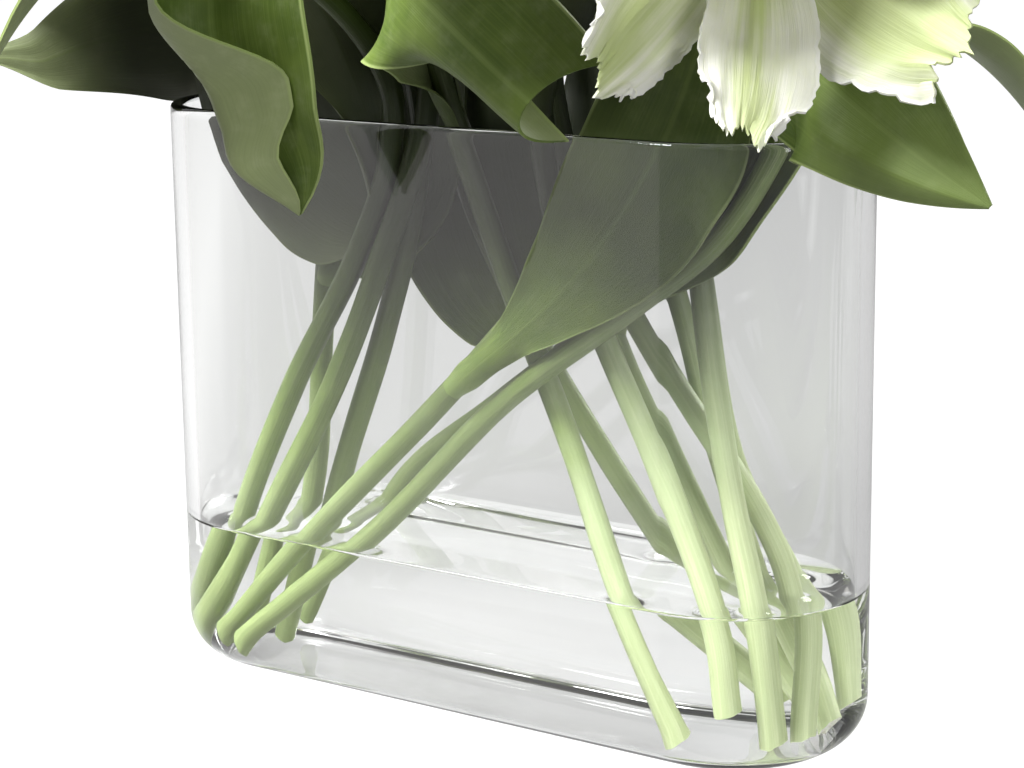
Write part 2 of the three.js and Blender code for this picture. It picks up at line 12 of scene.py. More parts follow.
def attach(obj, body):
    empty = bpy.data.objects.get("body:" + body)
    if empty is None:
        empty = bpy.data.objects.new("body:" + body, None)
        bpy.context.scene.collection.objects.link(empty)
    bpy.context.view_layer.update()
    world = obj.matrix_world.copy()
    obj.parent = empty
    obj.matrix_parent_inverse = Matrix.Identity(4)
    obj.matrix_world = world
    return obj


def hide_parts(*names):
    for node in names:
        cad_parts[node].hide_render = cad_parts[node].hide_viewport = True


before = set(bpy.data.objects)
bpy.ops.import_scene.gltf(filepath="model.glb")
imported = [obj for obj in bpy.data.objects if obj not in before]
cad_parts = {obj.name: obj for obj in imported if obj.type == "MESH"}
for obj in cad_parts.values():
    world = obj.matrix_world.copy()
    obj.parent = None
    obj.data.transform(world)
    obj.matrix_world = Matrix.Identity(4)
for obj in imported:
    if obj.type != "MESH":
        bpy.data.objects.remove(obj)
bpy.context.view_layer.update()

# The vase: one piece of clear pressed glass on an oval plan, with a 4 mm wall, a 5 mm floor and a
# fire-polished rim. It is worked from a round block, which is drawn out sideways, hollowed from
# the top and rounded at its foot, inside the floor and along the rim.
MM = 0.001
VASE_WIDTH = 77 * MM
VASE_HEIGHT = 174 * MM
STRAIGHT = 153 * MM
WALL = 4 * MM
FLOOR = 5 * MM
FOOT_ROUNDING = 14.5 * MM
INNER_ROUNDING = 9 * MM
RIM_ROUNDING = 1.7 * MM
FOOT_SEGMENTS = 16
INNER_SEGMENTS = 12
RIM_SEGMENTS = 5
END_FACETS = 64
SIDE_CUTS = 95
EDGE_MARGIN = 1.5 * MM
LEVEL_TOLERANCE = 0.01 * MM
SHARP_ANGLE = math.radians(57)
LEAST_SLOPE = 0.01
WATER_LEVEL = 44.4 * MM
CREEP = 2.0 * MM
GLASS_BENDING = 1.5
WATER_BENDING = 1.333
GLASS_WAVES = {"scale": 22, "depth": 0.2 * MM}


def pick(kind, test):
    """Selects the vertices, edges or faces in edit mode that pass a test, and nothing else."""
    bpy.ops.mesh.select_all(action="DESELECT")
    bpy.ops.mesh.select_mode(type={"verts": "VERT", "edges": "EDGE", "faces": "FACE"}[kind])
    mesh = bpy.context.object.data
    shape = bmesh.from_edit_mesh(mesh)
    for part in getattr(shape, kind):
        if test(part):
            part.select_set(True)
    shape.select_flush_mode()
    bmesh.update_edit_mesh(mesh)


def on_level(part, level):
    """True for an edge or a face that lies flat at a height."""
    return all(abs(vertex.co.z - level) < LEVEL_TOLERANCE for vertex in part.verts)


def faces_up(face):
    return face.normal.z > 0.5


def oval_block(name, width, bottom, top):
    """A closed upright block on the vase's plan, left in edit mode."""
    bpy.ops.object.select_all(action="DESELECT")
    bpy.ops.mesh.primitive_cylinder_add(
        vertices=2 * END_FACETS, radius=width / 2, depth=top - bottom, end_fill_type="NOTHING",
        location=(0, 0, (bottom + top) / 2), rotation=(0, 0, math.pi / (2 * END_FACETS)))
    block = bpy.context.object
    block.name = name
    bpy.ops.object.transform_apply(location=True, rotation=True, scale=True)
    bpy.ops.object.mode_set(mode="EDIT")
    for side in (1, -1):
        pick("verts", lambda vertex: vertex.co.x * side > 0)
        bpy.ops.transform.translate(value=(side * STRAIGHT / 2, 0, 0))
    pick("edges", lambda edge: edge.verts[0].co.x * edge.verts[1].co.x < 0)
    bpy.ops.mesh.subdivide(number_cuts=SIDE_CUTS)
    for level in (bottom, top):
        pick("edges", lambda edge: on_level(edge, level))
        bpy.ops.mesh.edge_face_add()
    return block


def round_edges(level, radius, segments):
    """Rounds the sharp edges that lie at a height."""
    pick("edges", lambda edge: on_level(edge, level) and edge.calc_face_angle(0) > SHARP_ANGLE)
    bpy.ops.mesh.bevel(offset=radius, segments=segments, affect="EDGES", clamp_overlap=False)


def set_off_flat(level):
    """Gives the flat face at a height a border of its own, so that it shades flat within it."""
    pick("faces", lambda face: on_level(face, level))
    bpy.ops.mesh.inset(thickness=EDGE_MARGIN, depth=0)


def cut_rings(levels):
    """Adds rings of edges at some heights, which keep the shading of a flat wall flat."""
    for level in levels:
        bpy.ops.mesh.select_all(action="SELECT")
        bpy.ops.mesh.bisect(plane_co=(0, 0, level), plane_no=(0, 0, 1))


def leave_edit(smooth_below):
    """Turns all faces outwards, leaves edit mode and smooths the edges below an angle in degrees."""
    bpy.ops.mesh.select_all(action="SELECT")
    bpy.ops.mesh.normals_make_consistent(inside=False)
    bpy.ops.object.mode_set(mode="OBJECT")
    bpy.ops.object.shade_smooth_by_angle(angle=math.radians(smooth_below))


class Wire:
    """An output in a material. A sum written on it, such as 1 - mask, becomes Math nodes."""

    def __init__(self, finish, socket):
        self.finish = finish
        self.socket = socket

    def maths(self, operation, *terms):
        return self.finish.node("ShaderNodeMath", dict(enumerate(terms)), operation=operation)

    def __add__(self, other):
        return self.maths("ADD", self, other)

    def __sub__(self, other):
        return self.maths("SUBTRACT", self, other)

    def __rsub__(self, other):
        return self.maths("SUBTRACT", other, self)

    def __mul__(self, other):
        return self.maths("MULTIPLY", self, other)

    def __abs__(self):
        return self.maths("ABSOLUTE", self)

    __radd__ = __add__
    __rmul__ = __mul__


class Finish:
    """A procedural material on one Principled shader."""

    def __init__(self, name, **constants):
        self.material = bpy.data.materials.new(name)
        self.material.use_nodes = True
        self.tree = self.material.node_tree
        self.shader = self.tree.nodes["Principled BSDF"]
        self.feed(self.shader, {key.replace("_", " "): value for key, value in constants.items()})

    def feed(self, node, sockets):
        """Links each socket to its wire, or sets it to its value."""
        for key, value in sockets.items():
            if isinstance(value, Wire):
                self.tree.links.new(value.socket, node.inputs[key])
            else:
                node.inputs[key].default_value = value

    def node(self, kind, sockets, output=0, stops=(), **settings):
        """Adds a node: its settings and the stops of its ramp first, and then its sockets."""
        made = self.tree.nodes.new(kind)
        for key, value in settings.items():
            setattr(made, key, value)
        for place, _ in stops[1:-1]:
            made.color_ramp.elements.new(place)
        for element, (place, shade) in zip(made.color_ramp.elements if stops else (), stops):
            element.position = place
            element.color = shade
        self.feed(made, sockets)
        return Wire(self, made.outputs[output])

    def place(self):
        """Where on the object a spot lies, in metres."""
        return self.node("ShaderNodeTexCoord", {}, output="Object")

    def parts_of(self, vector):
        """The three numbers of a vector. For a place: how far to the right, away and up it lies."""
        parts = self.node("ShaderNodeSeparateXYZ", {"Vector": vector})
        return [Wire(self, parts.socket.node.outputs[axis]) for axis in "XYZ"]

    def across_and_along(self):
        """Where a spot lies on a blade or a bar, as shares. Along a bar it runs from 0.5 to 1."""
        return self.parts_of(self.node("ShaderNodeUVMap", {}, uv_map="UVMap"))[:2]

    def spot(self, x, y, z):
        return self.node("ShaderNodeCombineXYZ", {"X": x, "Y": y, "Z": z})

    def noise(self, spot, scale, detail=2.0, roughness=0.5):
        return self.node("ShaderNodeTexNoise", {
            "Vector": spot, "Scale": scale, "Detail": detail, "Roughness": roughness})

    def step(self, value, low, high):
        """Rises smoothly from 0 to 1 as a value goes from low to high."""
        return self.node("ShaderNodeMapRange", {
            "Value": value, "From Min": low, "From Max": high}, interpolation_type="SMOOTHSTEP")

    def blend(self, share, first, second):
        """The first colour where the share is 0, and the second where it is 1."""
        return self.node("ShaderNodeMix", {0: share, 6: first, 7: second}, output=2, data_type="RGBA")

    def paint(self, skin, roughness):
        self.feed(self.shader, {"Base Color": skin, "Roughness": roughness})

    def bump(self, height, depth):
        normal = self.node("ShaderNodeBump", {"Height": height, "Distance": depth, "Strength": 1.0})
        self.feed(self.shader, {"Normal": normal})


def colour(red, green, blue):
    return (red, green, blue, 1.0)


def faces_inwards(face):
    """True on the vase's floor, on its inner wall and in the rounding between them."""
    over = face.center.x - min(max(face.center.x, -STRAIGHT / 2), STRAIGHT / 2)
    return face.normal.z > LEAST_SLOPE or face.normal.dot((over, face.center.y, 0)) < 0


vase = oval_block("vase_glass", VASE_WIDTH, 0, VASE_HEIGHT)
pick("faces", faces_up)
bpy.ops.mesh.inset(thickness=WALL, depth=0)
bpy.ops.mesh.extrude_region_move(TRANSFORM_OT_translate={"value": (0, 0, FLOOR - VASE_HEIGHT)})
round_edges(0, FOOT_ROUNDING, FOOT_SEGMENTS)
set_off_flat(0)
round_edges(FLOOR, INNER_ROUNDING, INNER_SEGMENTS)
set_off_flat(FLOOR)
round_edges(VASE_HEIGHT, RIM_ROUNDING, RIM_SEGMENTS)
cut_rings((FOOT_ROUNDING + EDGE_MARGIN, FLOOR + INNER_ROUNDING + EDGE_MARGIN, WATER_LEVEL + CREEP,
           VASE_HEIGHT - RIM_ROUNDING - EDGE_MARGIN))
leave_edit(smooth_below=35)

# The glass bends light as glass in air does, and less where it is wet inside.
for name, bending in (("clear_glass", GLASS_BENDING), ("wet_glass", GLASS_BENDING / WATER_BENDING)):
    glass = Finish(name, Base_Color=colour(0.985, 0.99, 0.985), Transmission_Weight=1.0, IOR=bending,
                   Roughness=0.0)
    waves = glass.noise(glass.place(), GLASS_WAVES["scale"], detail=1.0)
    glass.bump(waves, GLASS_WAVES["depth"])
    vase.data.materials.append(glass.material)
for face in vase.data.polygons:
    if face.center.z < WATER_LEVEL + CREEP and faces_inwards(face):
        face.material_index = 1
vase.visible_shadow = False
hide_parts("vase")
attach(vase, "root")

# The tulips: the points that each stem runs through from its foot to its neck, the way its bloom
# faces, how far the bloom has opened, its size and its roll, and its leaves. All in millimetres.

# A leaf grows out "at" a height of its stem and runs past two handles to its tip. "across" is the way
# that its width lies, "widest" the share of its length where it is widest, "rise" how late it widens,
# "fold" how far its sides fold up, and "wave" how far they wave. Where "widest", "rise" or "wave" is
# left out, the value in the section on the leaves holds.
TULIPS = [
    {
        "name": "01",
        "stem": [
            (-89, -19.5, 10), (-51, -26.5, 48), (-3, -28.5, 93), (44, -28.5, 141), (72, -28, 172),
            (80, -25, 200), (93, -28, 226), (111, -50, 233),
        ],
        "bloom": {"faces": (0.5, -0.84, -0.12), "open": 0.62, "size": 1.05, "roll": 180},
        "leaves": [
            {
                "at": 98, "width": 45, "widest": 0.64, "rise": 3, "across": (1, 0.12, -0.7),
                "fold": -0.1, "wave": 0,
                "handles": [(37, -35, 125), (79, -31.4, 152)], "tip": (93, -33, 232),
            },
        ],
    },
    {
        "name": "02",
        "stem": [
            (-79.5, -27, 9.5), (-28, -25, 52), (18, -25.3, 96), (60, -24, 127), (84, -21, 147),
            (98, -15, 172), (110, -9, 205), (132, 3, 233),
        ],
        "bloom": {"faces": (0.88, 0.05, 0.47), "open": 0.55, "size": 1.08, "roll": 0},
        "leaves": [
            {
                "at": 122, "width": 27, "rise": 2, "across": (0.5, 0, -1), "fold": 0.15, "wave": 0,
                "handles": [(75, -17, 147), (98, -10, 166)], "tip": (106, -4, 220),
            },
            {
                "at": 180, "width": 50, "across": (-0.3, -0.4, -0.9), "fold": 0.15,
                "handles": [(110, -26, 206), (122, -48, 192)], "tip": (174, -50, 166),
            },
        ],
    },
    {
        "name": "03",
        "stem": [
            (-103, -6, 10.5), (-89, -16, 44), (-64, -18.5, 91), (-40, -18.5, 130), (-25, -19, 165),
            (-26, -26, 192), (-38, -52, 219), (-61, -84, 233),
        ],
        "bloom": {"faces": (-0.45, -0.75, 0.48), "open": 0.5, "size": 1.08, "roll": 40},
        "leaves": [
            {
                "at": 150, "width": 62, "widest": 0.66, "across": (-1, -0.4, 0), "fold": 0.15,
                "handles": [(-45, -25, 250), (-64, -80, 240)], "tip": (-27, -60, 150),
            },
        ],
    },
    {
        "name": "04",
        "stem": [
            (-98.5, -15, 9.5), (-79, -18.5, 42), (-50, -18.5, 90), (-30, -18, 132), (-15, -17, 172),
            (-18, -15, 208), (-32, -18, 250), (-52, -24, 291),
        ],
        "bloom": {"faces": (-0.38, -0.2, 0.9), "open": 0.38, "size": 1.02, "roll": 10},
        "leaves": [
            {
                "at": 200, "width": 44, "fold": 0.3,
                "handles": [(-22, -40, 250), (-45, -70, 278)], "tip": (-62, -76, 276),
            },
        ],
    },
    {
        "name": "05",
        "stem": [
            (-73, -6, 9), (-55, -8, 62), (-38, -8, 106), (-27, -8, 142), (-23, -8, 172),
            (-33, -10, 202), (-62, -18, 224), (-95, -28, 232), (-122, -36, 238),
        ],
        "bloom": {"faces": (-0.82, -0.3, 0.49), "open": 0.55, "size": 1.08, "roll": 25},
        "leaves": [
            {
                "at": 128, "width": 50, "across": (-0.5, 0, -1), "fold": 0, "wave": 0,
                "handles": [(-54, -6, 150), (-94, -7, 152)], "tip": (-101, -12, 220),
            },
            {
                "at": 200, "width": 42, "fold": 0.2,
                "handles": [(-62, -14, 250), (-112, -52, 244)], "tip": (-126, -84, 180),
            },
        ],
    },
    {
        "name": "06",
        "stem": [
            (-92, 8, 10), (-81, 10, 52), (-76, 10, 100), (-72, 10, 140), (-70, 11, 168),
            (-78, 16, 194), (-97, 25, 214), (-124, 34, 226),
        ],
        "bloom": {"faces": (-0.88, 0.2, 0.43), "open": 0.58, "size": 1.06, "roll": 50},
        "leaves": [
            {
                "at": 150, "width": 52, "across": (-0.3, 0, -1), "fold": 0.1,
                "handles": [(-80, 4, 206), (-118, -8, 214)], "tip": (-176, -34, 184),
            },
            {
                "at": 116, "width": 50, "across": (1, 0, -0.3), "fold": 0, "wave": 0,
                "handles": [(-56, 5, 142), (-32, 5, 165)], "tip": (-20, 4, 226),
            },
            {
                "at": 188, "width": 42, "fold": 0.2,
                "handles": [(-95, 30, 222), (-140, 58, 200)], "tip": (-160, 74, 148),
            },
        ],
    },
    {
        "name": "07",
        "stem": [
            (-77, 17, 10), (-57, 26, 52), (-20, 28.5, 82), (20, 28.5, 113), (58, 28.5, 145),
            (82, 29, 172), (88, 40, 200), (97, 65, 227),
        ],
        "bloom": {"faces": (0.72, 0.52, 0.46), "open": 0.52, "size": 1.08, "roll": 5},
        "leaves": [
            {
                "at": 112, "width": 32, "across": (1, 0, -0.8), "fold": 0, "wave": 0,
                "handles": [(40, 30, 140), (62, 23, 166)], "tip": (94, 38, 222),
            },
            {
                "at": 186, "width": 44, "fold": 0.2,
                "handles": [(96, 42, 214), (134, 58, 196)], "tip": (150, 72, 140),
            },
        ],
    },
    {
        "name": "08",
        "stem": [
            (77, -27, 9), (58, -26, 44), (34, -17, 86), (16, -17, 125), (2, -18, 160),
            (-2, -30, 192), (10, -62, 228), (27, -92, 244),
        ],
        "bloom": {"faces": (0.2, -0.8, 0.56), "open": 0.45, "size": 1.06, "roll": 15},
        "leaves": [
            {
                "at": 172, "width": 50, "across": (0, -0.3, -1), "fold": 0,
                "handles": [(-8, -50, 236), (20, -98, 228)], "tip": (78, -88, 183),
            },
        ],
    },
    {
        "name": "09",
        "stem": [
            (90, -25, 18), (84, -22.5, 44), (64, -16.5, 80), (46, -16.5, 115), (30, -17, 150),
            (26, -22, 190), (24, -36, 242), (22, -51, 288),
        ],
        "bloom": {"faces": (0.1, -0.35, 0.93), "open": 0.34, "size": 1.04, "roll": 0},
        "leaves": [
            {
                "at": 176, "width": 44, "fold": 0.3,
                "handles": [(34, -36, 222), (52, -62, 252)], "tip": (78, -92, 250),
            },
        ],
    },
    {
        "name": "10",
        "stem": [
            (98.5, -17, 9.5), (93, -16, 44), (80, -8, 78), (72, -8, 124), (68, -8, 165),
            (68, -6, 208), (70, -3, 250), (75, 0, 292),
        ],
        "bloom": {"faces": (0.35, 0, 0.94), "open": 0.36, "size": 1.04, "roll": 30},
        "leaves": [
            {
                "at": 176, "width": 44, "fold": 0.3,
                "handles": [(82, 2, 220), (100, 18, 270)], "tip": (134, 30, 296),
            },
        ],
    },
    {
        "name": "11",
        "stem": [
            (102.5, -9.5, 9.5), (96, 0, 42), (84, 1, 68), (54, 1, 105), (30, 1, 142),
            (18, 1, 175), (13, 2, 215), (8, 3, 268), (4, 3, 326),
        ],
        "bloom": {"faces": (0.02, 0.02, 1), "open": 0.32, "size": 1.06, "roll": 12},
        "leaves": [
            {
                "at": 180, "width": 42, "fold": 0.3,
                "handles": [(14, -12, 236), (0, -20, 290)], "tip": (-22, -62, 318),
            },
            {
                "at": 196, "width": 40, "fold": 0.3,
                "handles": [(22, 10, 250), (34, 10, 300)], "tip": (62, 24, 334),
            },
        ],
    },
    {
        "name": "12",
        "stem": [
            (103, 1, 10), (83, 10, 37), (66, 10, 80), (56, 10, 112), (44, 10, 150),
            (38, 14, 190), (36, 34, 246), (34, 48, 289),
        ],
        "bloom": {"faces": (0.12, 0.38, 0.92), "open": 0.4, "size": 1.02, "roll": 44},
        "leaves": [
            {
                "at": 176, "width": 44, "fold": 0.3,
                "handles": [(46, 30, 222), (70, 48, 268)], "tip": (98, 62, 282),
            },
        ],
    },
    {
        "name": "13",
        "stem": [
            (85, 17, 9.5), (70, 15, 38), (46, 13, 81), (33, 12, 106), (18, 10, 145),
            (6, 11, 182), (-6, 20, 224), (-22, 30, 262), (-35, 40, 289),
        ],
        "bloom": {"faces": (-0.3, 0.32, 0.9), "open": 0.36, "size": 1.04, "roll": 22},
        "leaves": [
            {
                "at": 110, "width": 42, "across": (1, 0, 0), "fold": 0, "wave": 0,
                "handles": [(26, 21, 134), (18, 22, 172)], "tip": (16, 58, 240),
            },
            {
                "at": 196, "width": 42, "fold": 0.3,
                "handles": [(-12, 26, 226), (-50, 44, 262)], "tip": (-92, 38, 276),
            },
        ],
    },
    {
        "name": "14",
        "stem": [
            (75, 22, 9.5), (54, 19, 35), (20, 19, 76), (-8, 19, 115), (-28, 20, 152),
            (-38, 28, 184), (-52, 56, 214), (-70, 82, 230),
        ],
        "bloom": {"faces": (-0.5, 0.72, 0.48), "open": 0.55, "size": 1.08, "roll": 33},
        "leaves": [
            {
                "at": 100, "width": 58, "across": (1, 0, 0), "fold": 0, "wave": 0,
                "handles": [(-30, 27, 120), (-42, 20, 170)], "tip": (-46, 60, 240),
            },
            {
                "at": 176, "width": 42, "fold": 0.2,
                "handles": [(-50, 44, 216), (-92, 74, 206)], "tip": (-112, 98, 150),
            },
        ],
    },
    {
        "name": "15",
        "stem": [
            (100, 12, 12.5), (87, 19, 42), (66, 19, 76), (57, 19, 116), (51, 20, 160),
            (48, 32, 198), (38, 62, 223), (22, 95, 234),
        ],
        "bloom": {"faces": (0.05, 0.85, 0.52), "open": 0.5, "size": 1.08, "roll": 8},
        "leaves": [
            {
                "at": 186, "width": 44, "fold": 0.2,
                "handles": [(54, 52, 222), (36, 88, 206)], "tip": (14, 114, 148),
            },
        ],
    },
]

# The stems: round, fleshy and finely ribbed, whitish green in the water and greener above, with a
# fibrous cut foot. Each is worked from a thin round bar that is cut into rings, and the rings are
# carried along the stem's curve.
STEM_SIDES = 24
STEM_RINGS = 110
FOOT_RADIUS = 3.5 * MM
NECK_RADIUS = 3.1 * MM
NECK_FROM = 0.9
STOUTNESS_SPREAD = 0.14
SWELLING = 0.06
SWELLING_SCALE = 40
STEM_RIBS = 7
RIB_HEIGHT = 0.012
CUT_SLANT = 1.2 * MM
CUT_RAGGEDNESS = 0.5 * MM
CURVE_SAMPLES = 400
JOINED_SMOOTH_BELOW = 50
STEM_GREENS = (
    (0.0, colour(0.42, 0.49, 0.27)), (0.35, colour(0.5, 0.6, 0.34)),
    (0.65, colour(0.34, 0.46, 0.16)), (1.0, colour(0.13, 0.2, 0.055)))
# The left colour is painted shade: the stems on the left of the bunch lie in the shade of the leaves.
STEM_COLOURS = {"rib": colour(0.68, 0.74, 0.46), "left": colour(0.12, 0.17, 0.04)}
CUT_COLOURS = {
    "fibre": colour(0.5, 0.5, 0.3),
    "flesh": colour(0.86, 0.87, 0.76),
    "stain": colour(0.42, 0.33, 0.2),
}

# The heart of the bunch, where the leaves and blooms shut out the light, has a painted shade, which
# comes between the first two heights or depths and goes between the last two, and to the sides too.
HEART_HEIGHTS = (75 * MM, 150 * MM, 210 * MM, 260 * MM)
HEART_DEPTHS = (-63 * MM, -15 * MM, 30 * MM, 60 * MM)
HEART_MIDDLE = -30 * MM
HEART_SIDES = (100 * MM, 145 * MM)
HEART_SHADE_STRENGTH = 0.95
HEART_SHADE_COLOUR = colour(0.008, 0.012, 0.003)


def points_of(tulip):
    return [Vector(point) * MM for point in tulip["stem"]]


def on_curve(points, share):
    """The place at a share of the smooth curve through some points, and its direction there."""
    spans = len(points) - 1
    i = min(int(share * spans), spans - 1)
    w = share * spans - i
    b, c = points[i], points[i + 1]
    a = points[i - 1] if i else 2 * b - c
    d = points[i + 2] if i + 2 <= spans else 2 * c - b
    start, end = (c - a) / 2, (d - b) / 2
    cubic = 2 * b - 2 * c + start + end
    square = -3 * b + 3 * c - 2 * start - end
    place = ((cubic * w + square) * w + start) * w + b
    return place, (3 * cubic * w * w + 2 * square * w + start).normalized()


def at_height(points, height):
    """The first place on a stem at a height."""
    for i in range(CURVE_SAMPLES + 1):
        place, _ = on_curve(points, i / CURVE_SAMPLES)
        if place.z >= height:
            return place
    raise ValueError("no such height on the stem")


def runs_along(edge):
    """True for an edge that runs the length of an upright bar."""
    return abs(edge.verts[0].co.z - edge.verts[1].co.z) > 0.5


def bar(name, sides, rings, place):
    """A round bar cut into rings, whose points (x, y, share along) are then carried to a place."""
    bpy.ops.object.select_all(action="DESELECT")
    bpy.ops.mesh.primitive_cylinder_add(vertices=sides, radius=1, depth=1, end_fill_type="TRIFAN")
    made = bpy.context.object
    made.name = name
    bpy.ops.object.mode_set(mode="EDIT")
    pick("edges", runs_along)
    bpy.ops.mesh.subdivide(number_cuts=rings - 1)
    bpy.ops.object.mode_set(mode="OBJECT")
    for vertex in made.data.vertices:
        vertex.co = place(vertex.co.x, vertex.co.y, vertex.co.z + 0.5)
    return made


def join_piece(parts, name):
    """Joins the grown parts of a piece into one object."""
    bpy.ops.object.select_all(action="DESELECT")
    for part in parts:
        part.select_set(True)
    bpy.context.view_layer.objects.active = parts[0]
    bpy.ops.object.join()
    piece = bpy.context.object
    piece.name = name
    bpy.ops.object.shade_smooth_by_angle(angle=math.radians(JOINED_SMOOTH_BELOW))
    return piece


def stem_rings(points, faces):
    """The middle of each ring of a stem and its two ways across. The neck turns to the bloom."""
    rings = []
    side = Vector((0, 1, 0))
    for ring in range(STEM_RINGS + 1):
        share = ring / STEM_RINGS
        centre, along = on_curve(points, share)
        if share > NECK_FROM:
            along = along.lerp(faces, (share - NECK_FROM) / (1 - NECK_FROM)).normalized()
        side = (side - along * side.dot(along)).normalized()
        rings.append((centre, side, along.cross(side)))
    return rings


def stem_bar(tulip, seed):
    points = points_of(tulip)
    rings = stem_rings(points, Vector(tulip["bloom"]["faces"]).normalized())
    stoutness = 1 + STOUTNESS_SPREAD * noise.noise(Vector((seed * 3.7, 0.5, 0)))

    def place(x, y, share):
        centre, side, other = rings[round(share * STEM_RINGS)]
        radius = (FOOT_RADIUS + (NECK_RADIUS - FOOT_RADIUS) * share) * stoutness
        swell = 1 + SWELLING * noise.noise((centre + Vector((seed, 0, 0))) * SWELLING_SCALE)
        swell *= 1 + RIB_HEIGHT * math.sin(STEM_RIBS * math.atan2(y, x) + seed)
        spot = centre + (side * x + other * y) * radius * swell
        if share == 0:
            ragged = noise.noise(Vector((x * 2, y * 2, seed)))
            spot.z += CUT_SLANT * x + CUT_RAGGEDNESS * ragged
        return spot

    made = bar("stem", STEM_SIDES, STEM_RINGS, place)
    made.data.materials.append(stem_skin.material)
    made.data.materials.append(cut_face.material)
    for face in made.data.polygons:
        if len(face.vertices) == 3 and (face.center - points[0]).length < 2 * FOOT_RADIUS:
            face.material_index = 1
    return made


def with_painted_heart_shade(finish, skin):
    """A skin with painted shade in the heart of the bunch."""
    right, away, height = finish.parts_of(finish.place())
    dark = 1 - finish.step(abs(right - HEART_MIDDLE), *HEART_SIDES)
    for value, (rise, full, fade, end) in ((height, HEART_HEIGHTS), (away, HEART_DEPTHS)):
        dark = dark * finish.step(value, rise, full) * (1 - finish.step(value, fade, end))
    # Painted shade: the skin turns nearly black in the heart of the bunch.
    return finish.blend(dark * HEART_SHADE_STRENGTH, skin, HEART_SHADE_COLOUR)


def stem_finish():
    """Pale in the water, greener above, in clouds, and in painted shade a deeper green on the left.
    """
    finish = Finish("stem_skin", Specular_IOR_Level=0.32)
    around, _ = finish.across_and_along()
    spot = finish.place()
    right, _, height = finish.parts_of(spot)
    ribs = finish.noise(finish.spot(around * 46, height * 25, 0), scale=1.0)
    mottle = finish.noise(spot, scale=120, detail=3.0)
    cloud = finish.noise(spot, scale=14, detail=1.0)
    # Painted shade and light: the stems are a deeper green to the left of the bunch and paler to its
    # right.
    lit_on_right = finish.step(right, 0.0, 100 * MM)
    greening = height + 25 * MM + (mottle - 0.5) * 0.05 + (cloud - 0.5) * 0.14 - lit_on_right * 0.07
    fresh = finish.step(greening, 0.0, 180 * MM)
    skin = finish.node("ShaderNodeValToRGB", {"Fac": fresh}, stops=STEM_GREENS)
    skin = finish.blend(finish.step(ribs, 0.4, 0.75) * 0.4, skin, STEM_COLOURS["rib"])
    skin = finish.blend((1 - lit_on_right) * 0.74, skin, STEM_COLOURS["left"])
    finish.paint(with_painted_heart_shade(finish, skin), roughness=0.34 + mottle * 0.2)
    finish.bump(ribs * 0.8 + mottle * 0.2, 0.2 * MM)
    return finish


def cut_finish():
    """Pale flesh with the ends of its fibres, stained in spots."""
    finish = Finish("cut_foot")
    fibres = finish.node("ShaderNodeTexVoronoi", {"Vector": finish.place(), "Scale": 1500})
    stain = finish.noise(finish.place(), scale=400, detail=3.0)
    flesh = finish.blend(finish.step(fibres, 0.1, 0.5), CUT_COLOURS["fibre"], CUT_COLOURS["flesh"])
    flesh = finish.blend(finish.step(stain, 0.55, 0.75) * 0.6, flesh, CUT_COLOURS["stain"])
    finish.paint(flesh, roughness=0.5 + stain * 0.3)
    finish.bump(fibres, 0.35 * MM)
    return finish


stem_skin = stem_finish()
cut_face = cut_finish()

# The leaves: long, smooth and fleshy, with parallel veins, a thin light margin and a whitish bloom.
# Each is laid as a flat grid, carried to its place on the stem, curled round the stem at its foot,
# rolled at its margins and given its thickness.
LEAF_COLUMNS = 30
LEAF_ROWS = 84
LEAF_THICKNESS = 0.75 * MM
LEAF_BASE_SHARE = 0.2
LEAF_WIDEST_AT = 0.42
LEAF_TIP_POWER = 2.6
LEAF_BLUNT_POWER = 4
LEAF_TIP_SHARE = 0.015
LEAF_RISE = 1
LEAF_WAVE = 0.07
LEAF_WAVE_PACE = 9
LEAF_WAVE_SKEW = 2
LEAF_RIPPLE = 1.6 * MM
MARGIN_CURL = 22
MARGIN_CURL_SPREAD = 60
MARGIN_CURL_SPAN = (0.15, 0.4)
MARGIN_FLAT_SHARE = 0.5
CLASP_FROM = 0.02
CLASP_END = 0.16
CLASP_TURN = 2.5
CLASP_TURN_LIMIT = 2.4
CLASP_LOOK_AHEAD = 25 * MM
CLASP_LOOK_AT = 0.2
LEAST_TURN = 0.01
SHEATH_DEPTH = 0.6 * MM
SHEATH_RISE = 1.2 * MM
SHEATH_END = 0.07
SLIDE_SPAN = (0.4, 0.7, 0.9, 1)
LEAF_COLOURS = {
    "green": colour(0.075, 0.125, 0.02),
    "pale": colour(0.165, 0.24, 0.042),
    "vein": colour(0.26, 0.35, 0.08),
    "wax": colour(0.46, 0.52, 0.28),
    # The rib colour is partly the leaf's faint midrib and partly a painted highlight along its fold.
    "rib": colour(0.3, 0.4, 0.12),
    "foot": colour(0.32, 0.43, 0.14),
    "margin": colour(0.42, 0.52, 0.2),
    # The right colour is painted light: the leaves at the right of the bunch are paler, where more
    # light falls.
    "right": colour(0.32, 0.42, 0.15),
}

